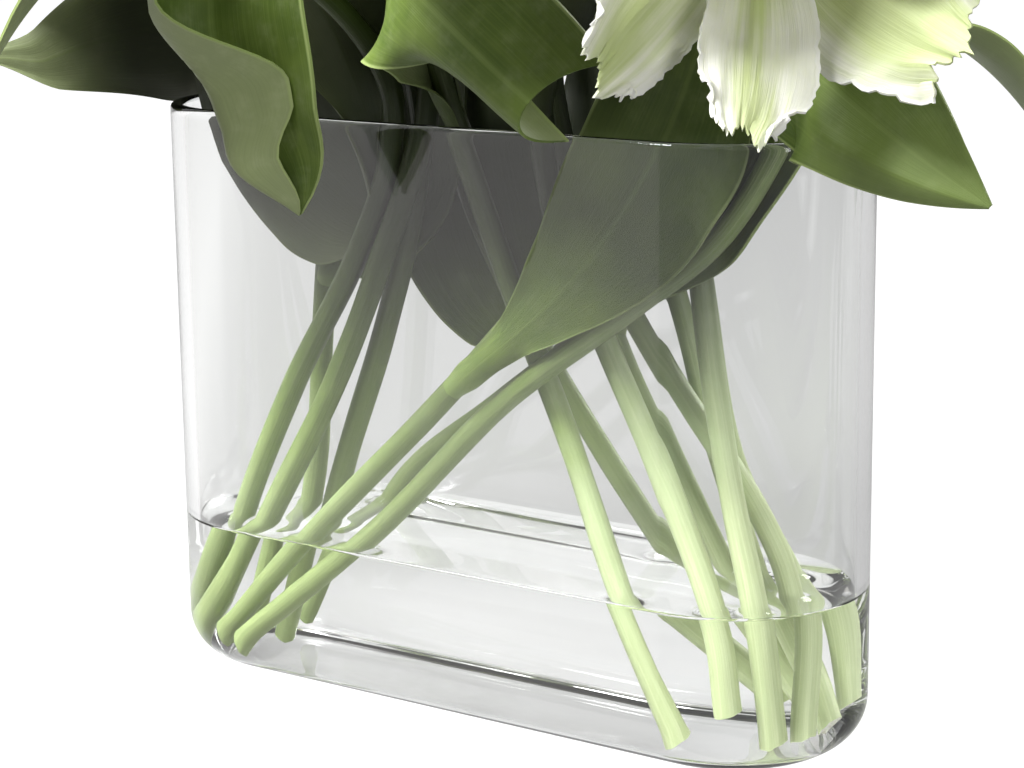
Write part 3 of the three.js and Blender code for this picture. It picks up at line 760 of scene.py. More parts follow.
# What single leaves do, by tulip and leaf. A roll has a side of the rib, the share of the half width
# that stays flat, the degrees through which the blade turns there, the share of the rest that the
# turn takes, and the shares of the length between which it comes and goes. A later roll of the same
# side takes over from an earlier one, and one that goes past a share of 1 stays to the tip.
# "clasp" is where the leaf has left its stem, "full" keeps it wide for longer, "blunt" is the share
# of the width that is left at the tip, "bite" is how much shorter the blade is in the middle of its
# end, and "slide" moves its outer part to its side +1.
LEAF_HABITS = {
    ("01", 0): {"rolls": [(1, 0.7, -110, 1, (0.62, 0.8, 2, 3))], "clasp": 0.3},
    ("02", 1): {"rolls": [(1, 0.05, -32, 0.3, (0.0, 0.3, 2, 3)),
                          (1, 0.42, -48, 0.15, (0.45, 0.7, 2, 3)),
                          (-1, 0.2, -20, 1, (0.0, 0.3, 2, 3))]},
    ("03", 0): {"rolls": [(1, 0.05, 120, 0.75, (0.25, 0.5, 2, 3)),
                          (1, 0.0, 172, 0.3, (0.73, 0.86, 2, 3)),
                          (1, 0.1, 172, 0.5, (0.89, 0.95, 0.96, 1.06)),
                          (-1, 0.3, 25, 1, (0.3, 0.6, 0.9, 1.2))], "full": 3.5, "slide": 7 * MM},
    ("05", 0): {"clasp": 0.3},
    ("06", 0): {"slide": 8 * MM},
    ("08", 0): {"rolls": [(1, 0.02, -175, 1, (0.45, 0.9, 2, 3))], "blunt": 0.8, "bite": 0.045},
}


def blade(columns, rows, place, thickness, skins):
    """A thin blade: a flat grid whose points (across -1 to 1, along 0 to 1) go to their place."""
    bpy.ops.object.select_all(action="DESELECT")
    bpy.ops.mesh.primitive_grid_add(x_subdivisions=columns, y_subdivisions=rows, size=2)
    made = bpy.context.object
    for vertex in made.data.vertices:
        vertex.co = place(vertex.co.x, (vertex.co.y + 1) / 2)
    for skin in skins:
        made.data.materials.append(skin.material)
    bpy.ops.object.modifier_add(type="SOLIDIFY")
    solid = made.modifiers[-1]
    solid.thickness = thickness
    solid.offset = 0
    solid.material_offset = 1
    bpy.ops.object.modifier_apply(modifier=solid.name)
    return made


def smooth(value, low, high):
    """Rises smoothly from 0 to 1 as a value goes from low to high."""
    share = min(max((value - low) / (high - low), 0), 1)
    return share * share * (3 - 2 * share)


def hump(value, rise, full, fade, end):
    """Rises from 0 to 1 between the first two places, and falls again between the last two."""
    return smooth(value, rise, full) * (1 - smooth(value, fade, end))


def rolled(reach, half, flat_share, angle, slack):
    """How far out and how high a spot lies on a strip that is flat, turns, and runs on straight."""
    flat = half * flat_share
    if reach <= flat or abs(angle) < LEAST_TURN:
        return reach, 0
    radius = (half - flat) * slack / abs(angle)
    turn = min((reach - flat) / radius, abs(angle))
    beyond = reach - flat - radius * turn
    out = flat + radius * math.sin(turn) + beyond * math.cos(turn)
    return out, math.copysign(radius * (1 - math.cos(turn)) + beyond * math.sin(turn), angle)


def leaf_blade(tulip, order, seed):
    leaf = tulip["leaves"][order]
    habit = LEAF_HABITS.get((tulip["name"], order), {})
    points = points_of(tulip)
    root = at_height(points, leaf["at"] * MM)
    inner, outer = (Vector(handle) * MM for handle in leaf["handles"])
    tip = Vector(leaf["tip"]) * MM
    width = leaf["width"] * MM
    outward = tip - root
    wide = Vector(leaf.get("across", (outward.y, -outward.x, 0))).normalized()
    wave = leaf.get("wave", LEAF_WAVE) * width
    widest = leaf.get("widest", LEAF_WIDEST_AT)
    blunt = habit.get("blunt", LEAF_TIP_SHARE)
    tip_power = LEAF_TIP_POWER + LEAF_BLUNT_POWER * blunt + habit.get("full", 0)
    stem_beyond = at_height(points, min(leaf["at"] * MM + CLASP_LOOK_AHEAD, points[-1].z - 1 * MM))

    def frame_at(t):
        """The rib at a share of its length, the way across the blade and the way that it faces."""
        s = 1 - t
        rib = root * s ** 3 + inner * 3 * s * s * t + outer * 3 * s * t * t + tip * t ** 3
        along = (inner - root) * s * s + (outer - inner) * 2 * s * t + (tip - outer) * t * t
        along.normalize()
        across = (wide - along * wide.dot(along)).normalized()
        return rib, across, across.cross(along)

    beside, _, facing = frame_at(CLASP_LOOK_AT)
    clasp_side = 1 if (stem_beyond - beside).dot(facing) > 0 else -1

    def half_width(t):
        rise = math.sin(math.pi / 2 * min(t / widest, 1)) ** leaf.get("rise", LEAF_RISE)
        fall = max((t - widest) / (1 - widest), 0)
        kept = 1 - (1 - blunt) * fall ** tip_power
        return width * (LEAF_BASE_SHARE + (1 - LEAF_BASE_SHARE) * rise) * kept / 2

    def roll_of(side, t):
        """The flat share of one half of the blade, the angle of its turn, and the turn's share."""
        bias = noise.noise(Vector((t * 3, side * 4, seed)))
        curl = math.radians(MARGIN_CURL + MARGIN_CURL_SPREAD * bias) * smooth(t, *MARGIN_CURL_SPAN)
        mix = [MARGIN_FLAT_SHARE, curl, 1]
        for roll_side, flat_share, angle, slack, span in habit.get("rolls", ()):
            if roll_side == side:
                goal = (flat_share, math.radians(angle), slack)
                mix = [a + (b - a) * hump(t, *span) for a, b in zip(mix, goal)]
        return mix

    def clasped(spot, v, t, half):
        """Curls the foot of the blade round its stem."""
        rib, across, facing = frame_at(t)
        clasp = 1 - smooth(t, CLASP_FROM, habit.get("clasp", CLASP_END))
        radius = FOOT_RADIUS + SHEATH_RISE * smooth(t, 0, SHEATH_END) - SHEATH_DEPTH
        turn = v * (CLASP_TURN * clasp + min(half / radius, CLASP_TURN_LIMIT) * (1 - clasp))
        curled = across * math.sin(turn) - facing * math.cos(turn) * clasp_side
        return spot.lerp(rib + curled * radius, clasp)

    def place(v, t):
        t *= 1 - habit.get("bite", 0) * (1 - v * v)
        rib, across, facing = frame_at(t)
        half = half_width(t)
        side = 1 if v > 0 else -1
        reach, lift = rolled(abs(v) * half, half, *roll_of(side, t))
        ripple = math.sin(LEAF_WAVE_PACE * t + LEAF_WAVE_SKEW * v)
        lift += leaf["fold"] * reach
        lift += wave * v * abs(v) * ripple * (half * 2 / width)
        lift += noise.noise(Vector((v * 1.5, t * 9, seed))) * v * v * LEAF_RIPPLE
        slide = habit.get("slide", 0) * hump(t, *SLIDE_SPAN)
        return clasped(rib + across * (side * reach + slide) + facing * lift, v, t, half)

    return blade(LEAF_COLUMNS, LEAF_ROWS, place, LEAF_THICKNESS, (leaf_face, leaf_back))


def leaf_finish(name, waxy):
    """The skin of a leaf's face or back, with a share of whitish wax, and painted light and shade."""
    finish = Finish(name, Specular_IOR_Level=0.28)
    across, along = finish.across_and_along()
    spot = finish.place()
    right, _, _ = finish.parts_of(spot)
    fibres = finish.spot(across * 60, along * 1.4, 0)
    veins = finish.noise(fibres, scale=1.0, detail=3.0, roughness=0.6)
    cloud = finish.noise(spot, scale=38, detail=3.0)
    frost = finish.noise(spot, scale=160, detail=3.0, roughness=0.6)
    from_rib = abs(across - 0.5) * 2
    skin = finish.blend(finish.step(cloud, 0.3, 0.7), LEAF_COLOURS["green"], LEAF_COLOURS["pale"])
    for share, tone in (
            (finish.step(veins, 0.4, 0.8) * 0.3, "vein"),
            (finish.step(frost, 0.45, 0.8) * 0.16 + waxy, "wax"),
            # Partly the faint midrib, partly a painted highlight along the fold.
            ((1 - finish.step(from_rib, 0.01, 0.05)) * 0.3, "rib"),
            ((1 - finish.step(along, 0.0, 0.16)) * 0.85, "foot"),
            (finish.step(from_rib, 0.955, 0.985) * 0.75, "margin"),
            # Painted light: paler leaves towards the right of the bunch.
            (finish.step(right, 100 * MM, 160 * MM) * 0.4, "right")):
        skin = finish.blend(share, skin, LEAF_COLOURS[tone])
    finish.paint(with_painted_heart_shade(finish, skin), roughness=0.36 + frost * 0.2)
    finish.bump(veins, 0.15 * MM)
    return finish


leaf_face = leaf_finish("leaf_face", waxy=0.02)
leaf_back = leaf_finish("leaf_back", waxy=0.62)

for number, tulip in enumerate(TULIPS):
    parts = [stem_bar(tulip, number)]
    parts += [leaf_blade(tulip, order, number + 20 * order) for order in range(len(tulip["leaves"]))]
    piece = join_piece(parts, "stem_and_leaves_" + tulip["name"])
    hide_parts("stem_" + tulip["name"])
    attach(piece, "root")

# The petals: three outer and three smaller inner ones on a knob at the neck, cream white with a
# green flame up the middle, frilled at the sides and torn into teeth along the end. Each is laid as
# a flat grid, bent along its length and round the bloom, ruffled and given its thickness.
PETALS = 6
PETAL_COLUMNS = 40
PETAL_ROWS = 48
PETAL_LENGTH = 64 * MM
PETAL_WIDTH = 47 * MM
PETAL_THICKNESS = 0.6 * MM
PETAL_BASE_WIDTH = 6 * MM
PETAL_SHOULDER_POWER = 0.9
PETAL_ROUNDING = 0.82
PETAL_START_RADIUS = 1.5 * MM
PETAL_LEAST_BEND = 12 * MM
PATH_STEPS = 40
MIDDLE_LEAN = {"closed": 8, "opening": 34}
END_LEAN = {"closed": -24, "opening": 105}
END_FROM = 0.66
TOOTH_DEPTH = (0.12, 0.02, 0.08, 0, 0.1)
TEAR_DEPTH = {"broad": 0.07, "fine": 0.045}
NICK_DEPTH = {"broad": 0.2, "fine": 0.08}
NICKS_FROM = 0.75
FRILL = 2 * MM
FRILL_PACE = 5.2 * math.pi
FRILL_SKEW = 2.5
SIDE_RUFFLE = {"broad": 2.8 * MM, "fine": 1.2 * MM}
END_RUFFLE = 1.6 * MM
CREASE_DEPTH = 0.9 * MM
CREASE_WIDTH = 0.12
CREASE_SPAN = (0.1, 0.4, END_FROM, 1)
PLEAT_DEPTH = 0.35 * MM
PLEAT_PACE = 14
OVERLAP = 2.2 * MM
OUTER_PETAL = {"size": 1, "opening": 1, "base": 80, "start": 1.6 * MM}
INNER_PETAL = {"size": 0.86, "opening": 0.8, "base": 68, "start": 5.2 * MM}
KNOB_RADIUS = 6.4 * MM
KNOB_HEIGHT = 8.5 * MM
KNOB_LIFT = 0.3 * MM
KNOB_ROUNDING = 0.75
NEARLY_UPRIGHT = 0.9
PETAL_COLOURS = {
    "cream": colour(0.82, 0.84, 0.68),
    "white": colour(0.92, 0.92, 0.83),
    "flame": colour(0.42, 0.52, 0.14),
    "foot": colour(0.36, 0.46, 0.1),
    "vein": colour(0.58, 0.66, 0.34),
    "margin": colour(0.93, 0.93, 0.89),
}

# What single petals do, by tulip and petal: the shares of the width and length that they have, how
# soon they close to their end, how far their sides bend back, how far they are turned about their
# length, and how far they sway to one side. INNER_FIRST names the tulips whose first petal is an
# inner one.
INNER_FIRST = ("01",)
PETAL_HABITS = {
    ("01", 0): {"width": 0.66, "length": 1.22, "rounding": 0.88, "bend_back": 0.2, "turn": 0.2,
                "sway": -4 * MM},
    ("01", 1): {"width": 0.95, "length": 1.1, "bend_back": 0.2, "sway": 3 * MM},
    ("01", 5): {"width": 0.62, "length": 1.02, "bend_back": 0.2, "sway": 6 * MM},
    ("08", 2): {"length": 0.94},
}


def bloom_frame(tulip):
    """A bloom's neck, its way up, and two ways across that are turned by its roll."""
    bloom = tulip["bloom"]
    up = Vector(bloom["faces"]).normalized()
    hint = Vector((1, 0, 0)) if abs(up.z) > NEARLY_UPRIGHT else Vector((0, 0, 1))
    first = (hint - up * hint.dot(up)).normalized()
    roll = math.radians(bloom["roll"])
    first = first * math.cos(roll) + up.cross(first) * math.sin(roll)
    return points_of(tulip)[-1], up, first, up.cross(first)


def petal_path(kind, opening, length):
    """Rows of distances from the bloom's axis, heights above the neck and leans along a petal."""
    middle = MIDDLE_LEAN["closed"] + MIDDLE_LEAN["opening"] * opening * kind["opening"]
    end = END_LEAN["closed"] + END_LEAN["opening"] * opening * kind["opening"]
    out, rise = PETAL_START_RADIUS, kind["start"]
    path = []
    for step in range(PATH_STEPS + 1):
        u = step / PATH_STEPS
        near_base, near_end = (1 - u) ** 3, u * u
        lean = math.radians(
            kind["base"] * near_base + middle * (1 - near_base - near_end) + end * near_end)
        path.append((out, rise, lean))
        out += length * math.sin(lean) / PATH_STEPS
        rise += length * math.cos(lean) / PATH_STEPS
    return list(zip(*path))


def between(row, at):
    """A row of figures read at a place between two of them."""
    low = min(int(at), len(row) - 2)
    return row[low] + (row[low + 1] - row[low]) * (at - low)


def petal_blade(tulip, index, seed):
    inner = (index + (tulip["name"] in INNER_FIRST)) % 2
    kind, skin = (INNER_PETAL, inner_skin) if inner else (OUTER_PETAL, outer_skin)
    habit = PETAL_HABITS.get((tulip["name"], index), {})
    scale = tulip["bloom"]["size"] * kind["size"]
    full_width = PETAL_WIDTH * scale * habit.get("width", 1)
    rounding = habit.get("rounding", PETAL_ROUNDING)
    path = petal_path(kind, tulip["bloom"]["open"], PETAL_LENGTH * scale * habit.get("length", 1))
    first_tooth = index % len(TOOTH_DEPTH)
    teeth = TOOTH_DEPTH[first_tooth:] + TOOTH_DEPTH[:first_tooth]
    neck, up, first, second = bloom_frame(tulip)
    turn = 2 * math.pi * index / PETALS
    outward = first * math.cos(turn) + second * math.sin(turn)
    sideways = up.cross(outward)

    def ruffle(x, y, z):
        return noise.noise(Vector((x, y, z + seed)))

    def torn(v):
        """The share of the petal's length that is torn away at its end."""
        tooth = between(teeth, (v + 1) / 2 * (len(teeth) - 1))
        tear = abs(ruffle(v * 6, 0, 0)) * TEAR_DEPTH["broad"]
        return tooth + tear + abs(ruffle(v * 17, 5, 0)) * TEAR_DEPTH["fine"]

    def half_width(v, along):
        """Half the petal's width at a share of its length, less the nicks in its sides."""
        swell = math.sin(math.pi * rounding * along ** PETAL_SHOULDER_POWER)
        half = (PETAL_BASE_WIDTH + (full_width - PETAL_BASE_WIDTH) * swell) / 2
        nick = abs(ruffle(9, along * 19, v)) * NICK_DEPTH["broad"]
        nick += abs(ruffle(4, along * 47, v)) * NICK_DEPTH["fine"]
        return half * (1 - nick * smooth(abs(v), NICKS_FROM, 1) * along)

    def relief(v, along):
        """How far a spot stands off the petal's even curve."""
        side = abs(v)
        depth = FRILL * v * v * along * math.sin(FRILL_PACE * along + index + FRILL_SKEW * v)
        depth += SIDE_RUFFLE["broad"] * side ** 3 * along * ruffle(v * 2, along * 9, 0)
        depth += SIDE_RUFFLE["fine"] * side ** 4 * along * ruffle(v * 2, along * 26, 3)
        depth += END_RUFFLE * smooth(along, END_FROM, 1) * ruffle(v * 5, along * 3, 7)
        crease = CREASE_DEPTH * math.exp(-(v / CREASE_WIDTH) ** 2)
        depth -= crease * hump(along, *CREASE_SPAN)
        depth += PLEAT_DEPTH * math.sin(PLEAT_PACE * v + 3 * ruffle(v, along * 2, 0)) * along
        return depth + OVERLAP * v * along

    def place(v, along):
        at = along * (1 - smooth(along, END_FROM, 1) * torn(v)) * PATH_STEPS
        out, rise, lean = (between(row, at) for row in path)
        half = half_width(v, along)
        bend = max(out, PETAL_LEAST_BEND)
        swing = v * half / bend
        bend_back = habit.get("bend_back", 0) * v * v * half + habit.get("turn", 0) * v * half
        normal = (outward * math.cos(swing) + sideways * math.sin(swing)) * math.cos(lean)
        normal -= up * math.sin(lean)
        spot = neck + up * rise + outward * (out - bend * (1 - math.cos(swing)))
        spot += sideways * (bend * math.sin(swing) + habit.get("sway", 0) * along * along)
        return spot + normal * (relief(v, along) + bend_back)

    return blade(PETAL_COLUMNS, PETAL_ROWS, place, PETAL_THICKNESS, (skin,))


def knob(tulip):
    neck, up, first, second = bloom_frame(tulip)

    def place(x, y, share):
        swell = math.sin(math.pi * KNOB_ROUNDING * share)
        radius = NECK_RADIUS + (KNOB_RADIUS - NECK_RADIUS) * swell
        return neck + up * (share * KNOB_HEIGHT + KNOB_LIFT) + (first * x + second * y) * radius

    made = bar("knob", sides=16, rings=8, place=place)
    made.data.materials.append(outer_skin.material)
    return made


def petal_finish(name, greenness):
    """Cream white that lets light through, with a green flame, a green foot and fine veins."""
    finish = Finish(name, Specular_IOR_Level=0.35, Subsurface_Weight=0.25, Subsurface_Scale=2 * MM,
                    Subsurface_Radius=(1.0, 1.0, 0.6))
    across, along = finish.across_and_along()
    spot = finish.place()
    fibres = finish.spot(across * 42, along * 2.2, 0)
    veins = finish.noise(fibres, scale=1.0, detail=3.0, roughness=0.6)
    streaks = finish.noise(finish.spot(across * 15, along * 1.3, 0), scale=1.0)
    cloud = finish.noise(spot, scale=60)
    spread = finish.noise(spot, scale=17, detail=1.0)
    from_rib = abs(across - 0.5) * 2
    flame = (streaks - 0.5) * 0.9 + (spread - 0.5) * 1.7 + 0.6 + greenness
    flame = flame - from_rib * 0.8 - along * 0.3
    skin = finish.blend(finish.step(cloud, 0.3, 0.7), PETAL_COLOURS["cream"], PETAL_COLOURS["white"])
    for share, tone in (
            (finish.step(flame, 0.0, 0.65) * 0.75, "flame"),
            ((1 - finish.step(along, 0.05, 0.45)) * 0.65, "foot"),
            (finish.step(veins, 0.5, 0.75) * 0.14, "vein"),
            (finish.step(from_rib, 0.9, 1.0) * 0.6, "margin")):
        skin = finish.blend(share, skin, PETAL_COLOURS[tone])
    finish.paint(skin, roughness=0.42 + veins * 0.2)
    finish.bump(veins, 0.28 * MM)
    return finish


# The outer petals are greener than the inner ones.
outer_skin = petal_finish("outer_petal", greenness=0.36)
inner_skin = petal_finish("inner_petal", greenness=0.1)

for number, tulip in enumerate(TULIPS):
    parts = [petal_blade(tulip, index, number * PETALS + index) for index in range(PETALS)]
    piece = join_piece(parts + [knob(tulip)], "petals_of_bloom_" + tulip["name"])
    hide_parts("petals_" + tulip["name"])
    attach(piece, "root")

# The heart of each bloom: a green three-sided pistil with a pale three-lobed stigma, and six
# stamens, each a thin thread with a long pollen sac, standing round its foot. Each is a bar that
# swells along its length.
HEART_START = KNOB_HEIGHT + KNOB_LIFT
PISTIL_LENGTH = 21 * MM
PISTIL_RADIUS = 2.6 * MM
PISTIL_TAPER = 0.25
PISTIL_SIDES = 0.1
STIGMA_FROM = 0.8
STIGMA_FULL = 0.93
STIGMA_TOP = 0.95
STIGMA_SWELL = 0.9
STIGMA_LOBES = 0.22
STIGMA_CLOSING = 0.5
STAMENS = 6
STAMEN_LENGTH = 19 * MM
STAMEN_SPREAD = 8 * MM
STAMEN_FOOT = 1.5 * MM
THREAD_RADIUS = 0.55 * MM
SAC_SPAN = (0.45, 0.52, 0.9, 1)
SAC_SWELL = 0.85 * MM
SAC_BREADTH = 0.35
SAC_CLOSING = 0.9
PISTIL_COLOURS = {"green": colour(0.42, 0.55, 0.2), "stigma": colour(0.82, 0.8, 0.42)}
STAMEN_COLOURS = {
    "thread": colour(0.7, 0.74, 0.46),
    "dark": colour(0.5, 0.36, 0.08),
    "pollen": colour(0.78, 0.6, 0.2),
}


def pistil_bar(tulip):
    neck, up, first, second = bloom_frame(tulip)
    length = PISTIL_LENGTH * tulip["bloom"]["size"]

    def place(x, y, share):
        lobes = PISTIL_SIDES + STIGMA_LOBES * smooth(share, STIGMA_FROM, STIGMA_TOP)
        stigma = STIGMA_SWELL * smooth(share, STIGMA_FROM, STIGMA_FULL)
        radius = PISTIL_RADIUS * (1 - PISTIL_TAPER * share + stigma)
        radius *= 1 + lobes * math.cos(3 * math.atan2(y, x))
        radius *= 1 - STIGMA_CLOSING * smooth(share, STIGMA_TOP, 1)
        return neck + up * (HEART_START + share * length) + (first * x + second * y) * radius

    made = bar("pistil", sides=24, rings=22, place=place)
    made.data.materials.append(pistil_skin.material)
    return made


def stamen_bar(tulip, index):
    neck, up, first, second = bloom_frame(tulip)
    size = tulip["bloom"]["size"]
    turn = 2 * math.pi * (index + 0.5) / STAMENS
    outward = first * math.cos(turn) + second * math.sin(turn)
    foot = neck + up * (HEART_START + STAMEN_FOOT)
    tip = neck + up * (HEART_START + STAMEN_LENGTH * size) + outward * STAMEN_SPREAD * size
    sideways = up.cross(outward)
    other = (tip - foot).normalized().cross(sideways)

    def place(x, y, share):
        rise, full, fade, end = SAC_SPAN
        sac = smooth(share, rise, full) * (1 - SAC_CLOSING * smooth(share, fade, end))
        radius = THREAD_RADIUS + SAC_SWELL * sac
        return foot.lerp(tip, share) + (sideways * x * (1 + SAC_BREADTH * sac) + other * y) * radius

    made = bar("stamen", sides=12, rings=24, place=place)
    made.data.materials.append(stamen_skin.material)
    return made


def pistil_finish():
    """Green, with a pale stigma at the top."""
    finish = Finish("pistil_skin")
    _, along = finish.across_and_along()
    stigma = finish.step(along, 0.88, 0.93)
    skin = finish.blend(stigma, PISTIL_COLOURS["green"], PISTIL_COLOURS["stigma"])
    finish.paint(skin, roughness=0.5)
    finish.bump(finish.noise(finish.place(), scale=900, detail=3.0), 0.2 * MM)
    return finish


def stamen_finish():
    """A pale thread below and grainy pollen above."""
    finish = Finish("stamen_skin")
    _, along = finish.across_and_along()
    grain = finish.noise(finish.place(), scale=1500, detail=3.0)
    pollen = finish.blend(grain, STAMEN_COLOURS["dark"], STAMEN_COLOURS["pollen"])
    skin = finish.blend(finish.step(along, 0.72, 0.76), STAMEN_COLOURS["thread"], pollen)
    finish.paint(skin, roughness=0.75)
    finish.bump(grain, 0.3 * MM)
    return finish


pistil_skin = pistil_finish()
stamen_skin = stamen_finish()

for tulip in TULIPS:
    parts = [pistil_bar(tulip)] + [stamen_bar(tulip, index) for index in range(STAMENS)]
    piece = join_piece(parts, "heart_of_bloom_" + tulip["name"])
    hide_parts("heart_" + tulip["name"])
    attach(piece, "root")

# The water: it fills the foot of the vase and wets the glass and the stems, so it reaches a hair
# into both, and it creeps up both in a thin rim. It is a block on the plan of the vase's inside,
# whose top is drawn inwards in rings that sink from the glass.
WET = 0.05 * MM
CREEP_REACH = 1.9 * MM
STEM_CREEP = 1.5 * MM
STEM_CREEP_REACH = 1.8 * MM
STEM_LOOK_AHEAD = 8 * MM
FIRST_RING = 0.35 * MM
RING_GROWTH = 0.25
WIDEST_RING = 1.6 * MM
LEVEL_ENOUGH = 0.3
SURFACE_TOLERANCE = 0.1 * MM
WATER_WAVES = {"scale": 30, "depth": 0.15 * MM, "depth_on_glass": 0.1 * MM}

water = oval_block("water_body", VASE_WIDTH - 2 * WALL + 2 * WET, FLOOR - WET, WATER_LEVEL + CREEP)
round_edges(FLOOR - WET, INNER_ROUNDING, INNER_SEGMENTS)
pick("faces", lambda face: faces_up(face) and face.calc_center_median().z > WATER_LEVEL)
inset, level = 0.0, CREEP
while inset < VASE_WIDTH / 2 - WALL - 2 * WIDEST_RING:
    ring = min(FIRST_RING + inset * RING_GROWTH, WIDEST_RING)
    inset += ring
    lower = CREEP * math.exp(-inset / CREEP_REACH)
    bpy.ops.mesh.inset(thickness=ring, depth=lower - level)
    level = lower
leave_edit(smooth_below=60)

crossings = []
for tulip in TULIPS:
    centre = at_height(points_of(tulip), WATER_LEVEL)
    beyond = at_height(points_of(tulip), WATER_LEVEL + STEM_LOOK_AHEAD)
    crossings.append((centre, (beyond - centre).normalized()))
for vertex in water.data.vertices:
    if vertex.co.z > WATER_LEVEL - SURFACE_TOLERANCE:
        for centre, along in crossings:
            aside = vertex.co - centre
            aside -= along * aside.dot(along)
            gap = max(aside.length - FOOT_RADIUS, 0)
            vertex.co.z += STEM_CREEP * math.exp(-gap / STEM_CREEP_REACH)

# The surface bends light. Where the water lies on the glass, the wet glass does that instead.
liquid = Finish("water_surface", Base_Color=colour(0.985, 0.995, 0.99), Transmission_Weight=1.0,
                IOR=WATER_BENDING, Roughness=0.0)
waves = liquid.noise(liquid.place(), WATER_WAVES["scale"], detail=1.0)
liquid.bump(waves, WATER_WAVES["depth"])
against_glass = Finish("water_on_glass", Alpha=0.0)
waves = against_glass.noise(against_glass.place(), WATER_WAVES["scale"])
against_glass.bump(waves, WATER_WAVES["depth_on_glass"])
water.data.materials.append(liquid.material)
water.data.materials.append(against_glass.material)
for face in water.data.polygons:
    if face.normal.z < LEVEL_ENOUGH:
        face.material_index = 1
water.visible_shadow = False
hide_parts("water")
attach(water, "root")

# The studio: a white table and white paper all round, which lie in shade to the right and in front
# on the right, so that the glass draws, and soft lights above, to the right and behind. A shade
# comes over a span of places, or of directions for the paper, along its way.
TABLE_SIZE = 6
TABLE_LEVEL = -0.3 * MM
TABLE_GREY = colour(0.1, 0.1, 0.1)
LEFT_SHADE = 0.87
RIGHT_SHADE = 0.52
FRONT_SHADE = 0.72
CAMERA_SHADE = 0.1
NEAR_SHADE = 0.82
AMBIENT = 0.05
NEAR_GLOW = 0.4
LOW_FRONT_GLOW = 0.2
NEAR_SPAN = (80 * MM, 200 * MM)
TABLE_SHADE_WAY = (0.82, 0.57)
TABLE_SHADE_SPAN = (-320 * MM, -50 * MM)
BEHIND_SPAN = (-0.15, 0.15)
CEILING_SPAN = (0.35, 0.6)
BACK_SHADE_SPAN = (-0.75, -0.25)
CAMERA_SHADE_WAY = (0.83, -0.5)
CAMERA_SHADE_SPAN = (-0.015, 0.015)
WHITE = colour(1, 1, 1)
WARM_WHITE = colour(1, 0.95, 0.91)


def softbox(name, place, target, size, power):
    """A rectangular light that is turned from its place to a target."""
    bpy.ops.object.light_add(type="AREA", location=place)
    light = bpy.context.object
    light.name = name
    light.data.shape = "RECTANGLE"
    light.data.size, light.data.size_y = size
    light.data.energy = power
    light.rotation_euler = (Vector(target) - Vector(place)).to_track_quat("-Z", "Y").to_euler()


def seen(finish):
    """1 where the camera looks straight at something, and 0 in glass and for its light."""
    return finish.node("ShaderNodeLightPath", {}, output="Is Camera Ray")


def by_ray(finish, shade, ambient):
    """White where the camera sees it, one shade through glass, and another as a source of light."""
    bounces = finish.node("ShaderNodeLightPath", {}, output="Diffuse Depth")
    scattered = finish.step(bounces, 0.4, 0.6)
    shade = shade * (1 - scattered) + ambient * scattered
    return shade * (1 - seen(finish)) + seen(finish)


softbox("light_above", place=(-0.5, -0.75, 1.25), target=(0, 0, 0.15), size=(0.6, 0.6), power=48)
softbox("light_right", place=(1.5, -0.7, 0.5), target=(0, 0, 0.12), size=(0.6, 0.8), power=9)
softbox("light_behind", place=(0.2, 1.3, 0.9), target=(0, 0, 0.2), size=(0.8, 0.6), power=16)

bpy.ops.object.select_all(action="DESELECT")
bpy.ops.mesh.primitive_plane_add(size=TABLE_SIZE, location=(0, 0, TABLE_LEVEL))
table = bpy.context.object
table.name = "studio_table"
paper = Finish("table_paper", Base_Color=TABLE_GREY, Roughness=0.7, Specular_IOR_Level=0.0)
right, away, _ = paper.parts_of(paper.place())
reach = paper.node("ShaderNodeVectorMath", {0: paper.place()}, output="Value", operation="LENGTH")
# A painted pool of light: the table is brighter near the vase, through the glass and in the light it
# gives.
near = 1 - paper.step(reach, *NEAR_SPAN)
shaded = paper.step(right * TABLE_SHADE_WAY[0] + away * TABLE_SHADE_WAY[1], *TABLE_SHADE_SPAN)
shade = LEFT_SHADE - shaded * (LEFT_SHADE - RIGHT_SHADE)
shade = shade * (1 - near) + NEAR_SHADE * near
glow = by_ray(paper, shade, AMBIENT + near * NEAR_GLOW)
paper.feed(paper.shader, {"Emission Color": glow, "Emission Strength": 1.0})
table.data.materials.append(paper.material)
paper.material.cycles.emission_sampling = "NONE"
table.visible_glossy = False


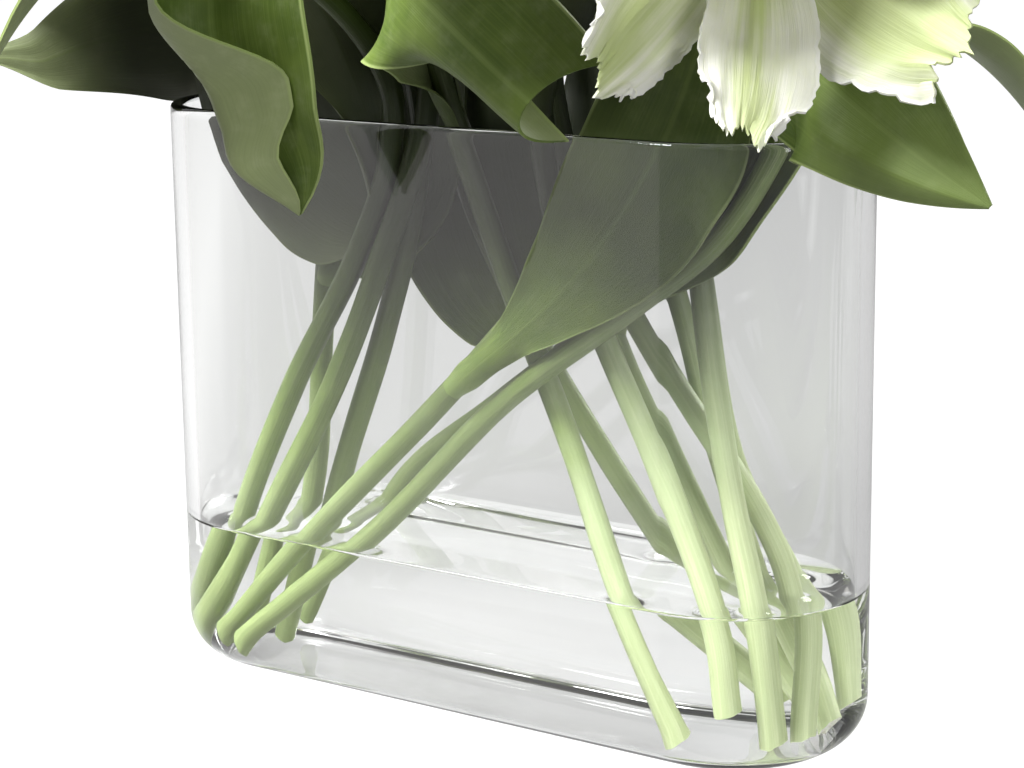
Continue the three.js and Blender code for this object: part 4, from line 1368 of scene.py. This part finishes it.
class Surround(Finish):
    """The paper round the studio: a finish on the world's background."""

    def __init__(self, world):
        world.use_nodes = True
        self.tree = world.node_tree
        self.shader = self.tree.nodes["Background"]


world = bpy.data.worlds.new("studio")
bpy.context.scene.world = world
surround = Surround(world)
right, away, upward = surround.parts_of(
    surround.node("ShaderNodeTexCoord", {}, output="Generated"))
behind = surround.step(away, *BEHIND_SPAN)
ceiling = surround.step(upward, *CEILING_SPAN)
low_front = (1 - behind) * (1 - ceiling)
back = LEFT_SHADE - surround.step(right, *BACK_SHADE_SPAN) * (LEFT_SHADE - RIGHT_SHADE)
beside_camera = surround.step(
    right * CAMERA_SHADE_WAY[0] + away * CAMERA_SHADE_WAY[1], *CAMERA_SHADE_SPAN)
front = FRONT_SHADE - beside_camera * (FRONT_SHADE - CAMERA_SHADE)
shade = back * behind + front * (1 - behind)
shade = shade * (1 - ceiling) + LEFT_SHADE * ceiling
tint = surround.blend(low_front * (1 - seen(surround)), WHITE, WARM_WHITE)
glow = by_ray(surround, shade, AMBIENT + low_front * LOW_FRONT_GLOW)
surround.feed(surround.shader, {"Color": tint, "Strength": glow})

# The camera: its place, turn and lens are the photograph's, as found from the outline of the vase.
CAMERA_PLACE = (0.41697, -0.59261, 0.25420)
CAMERA_RIGHT = (0.82254558, 0.5685774, -0.01176918)
CAMERA_UP = (-0.11100055, 0.1808096, 0.97723424)
CAMERA_SHIFT = (-0.0087, -0.0107)
SENSOR_WIDTH = 36
FOCAL_LENGTH = 88.66
NEAREST_SIGHT = 10 * MM

bpy.ops.object.camera_add(location=CAMERA_PLACE)
camera = bpy.context.object
right, up = Vector(CAMERA_RIGHT), Vector(CAMERA_UP)
camera.rotation_euler = Matrix((right, up, right.cross(up))).transposed().to_euler()
camera.data.sensor_width = SENSOR_WIDTH
camera.data.lens = FOCAL_LENGTH
camera.data.shift_x, camera.data.shift_y = CAMERA_SHIFT
camera.data.clip_start = NEAREST_SIGHT
bpy.context.scene.camera = camera
bpy.context.scene.view_settings.view_transform = "Standard"
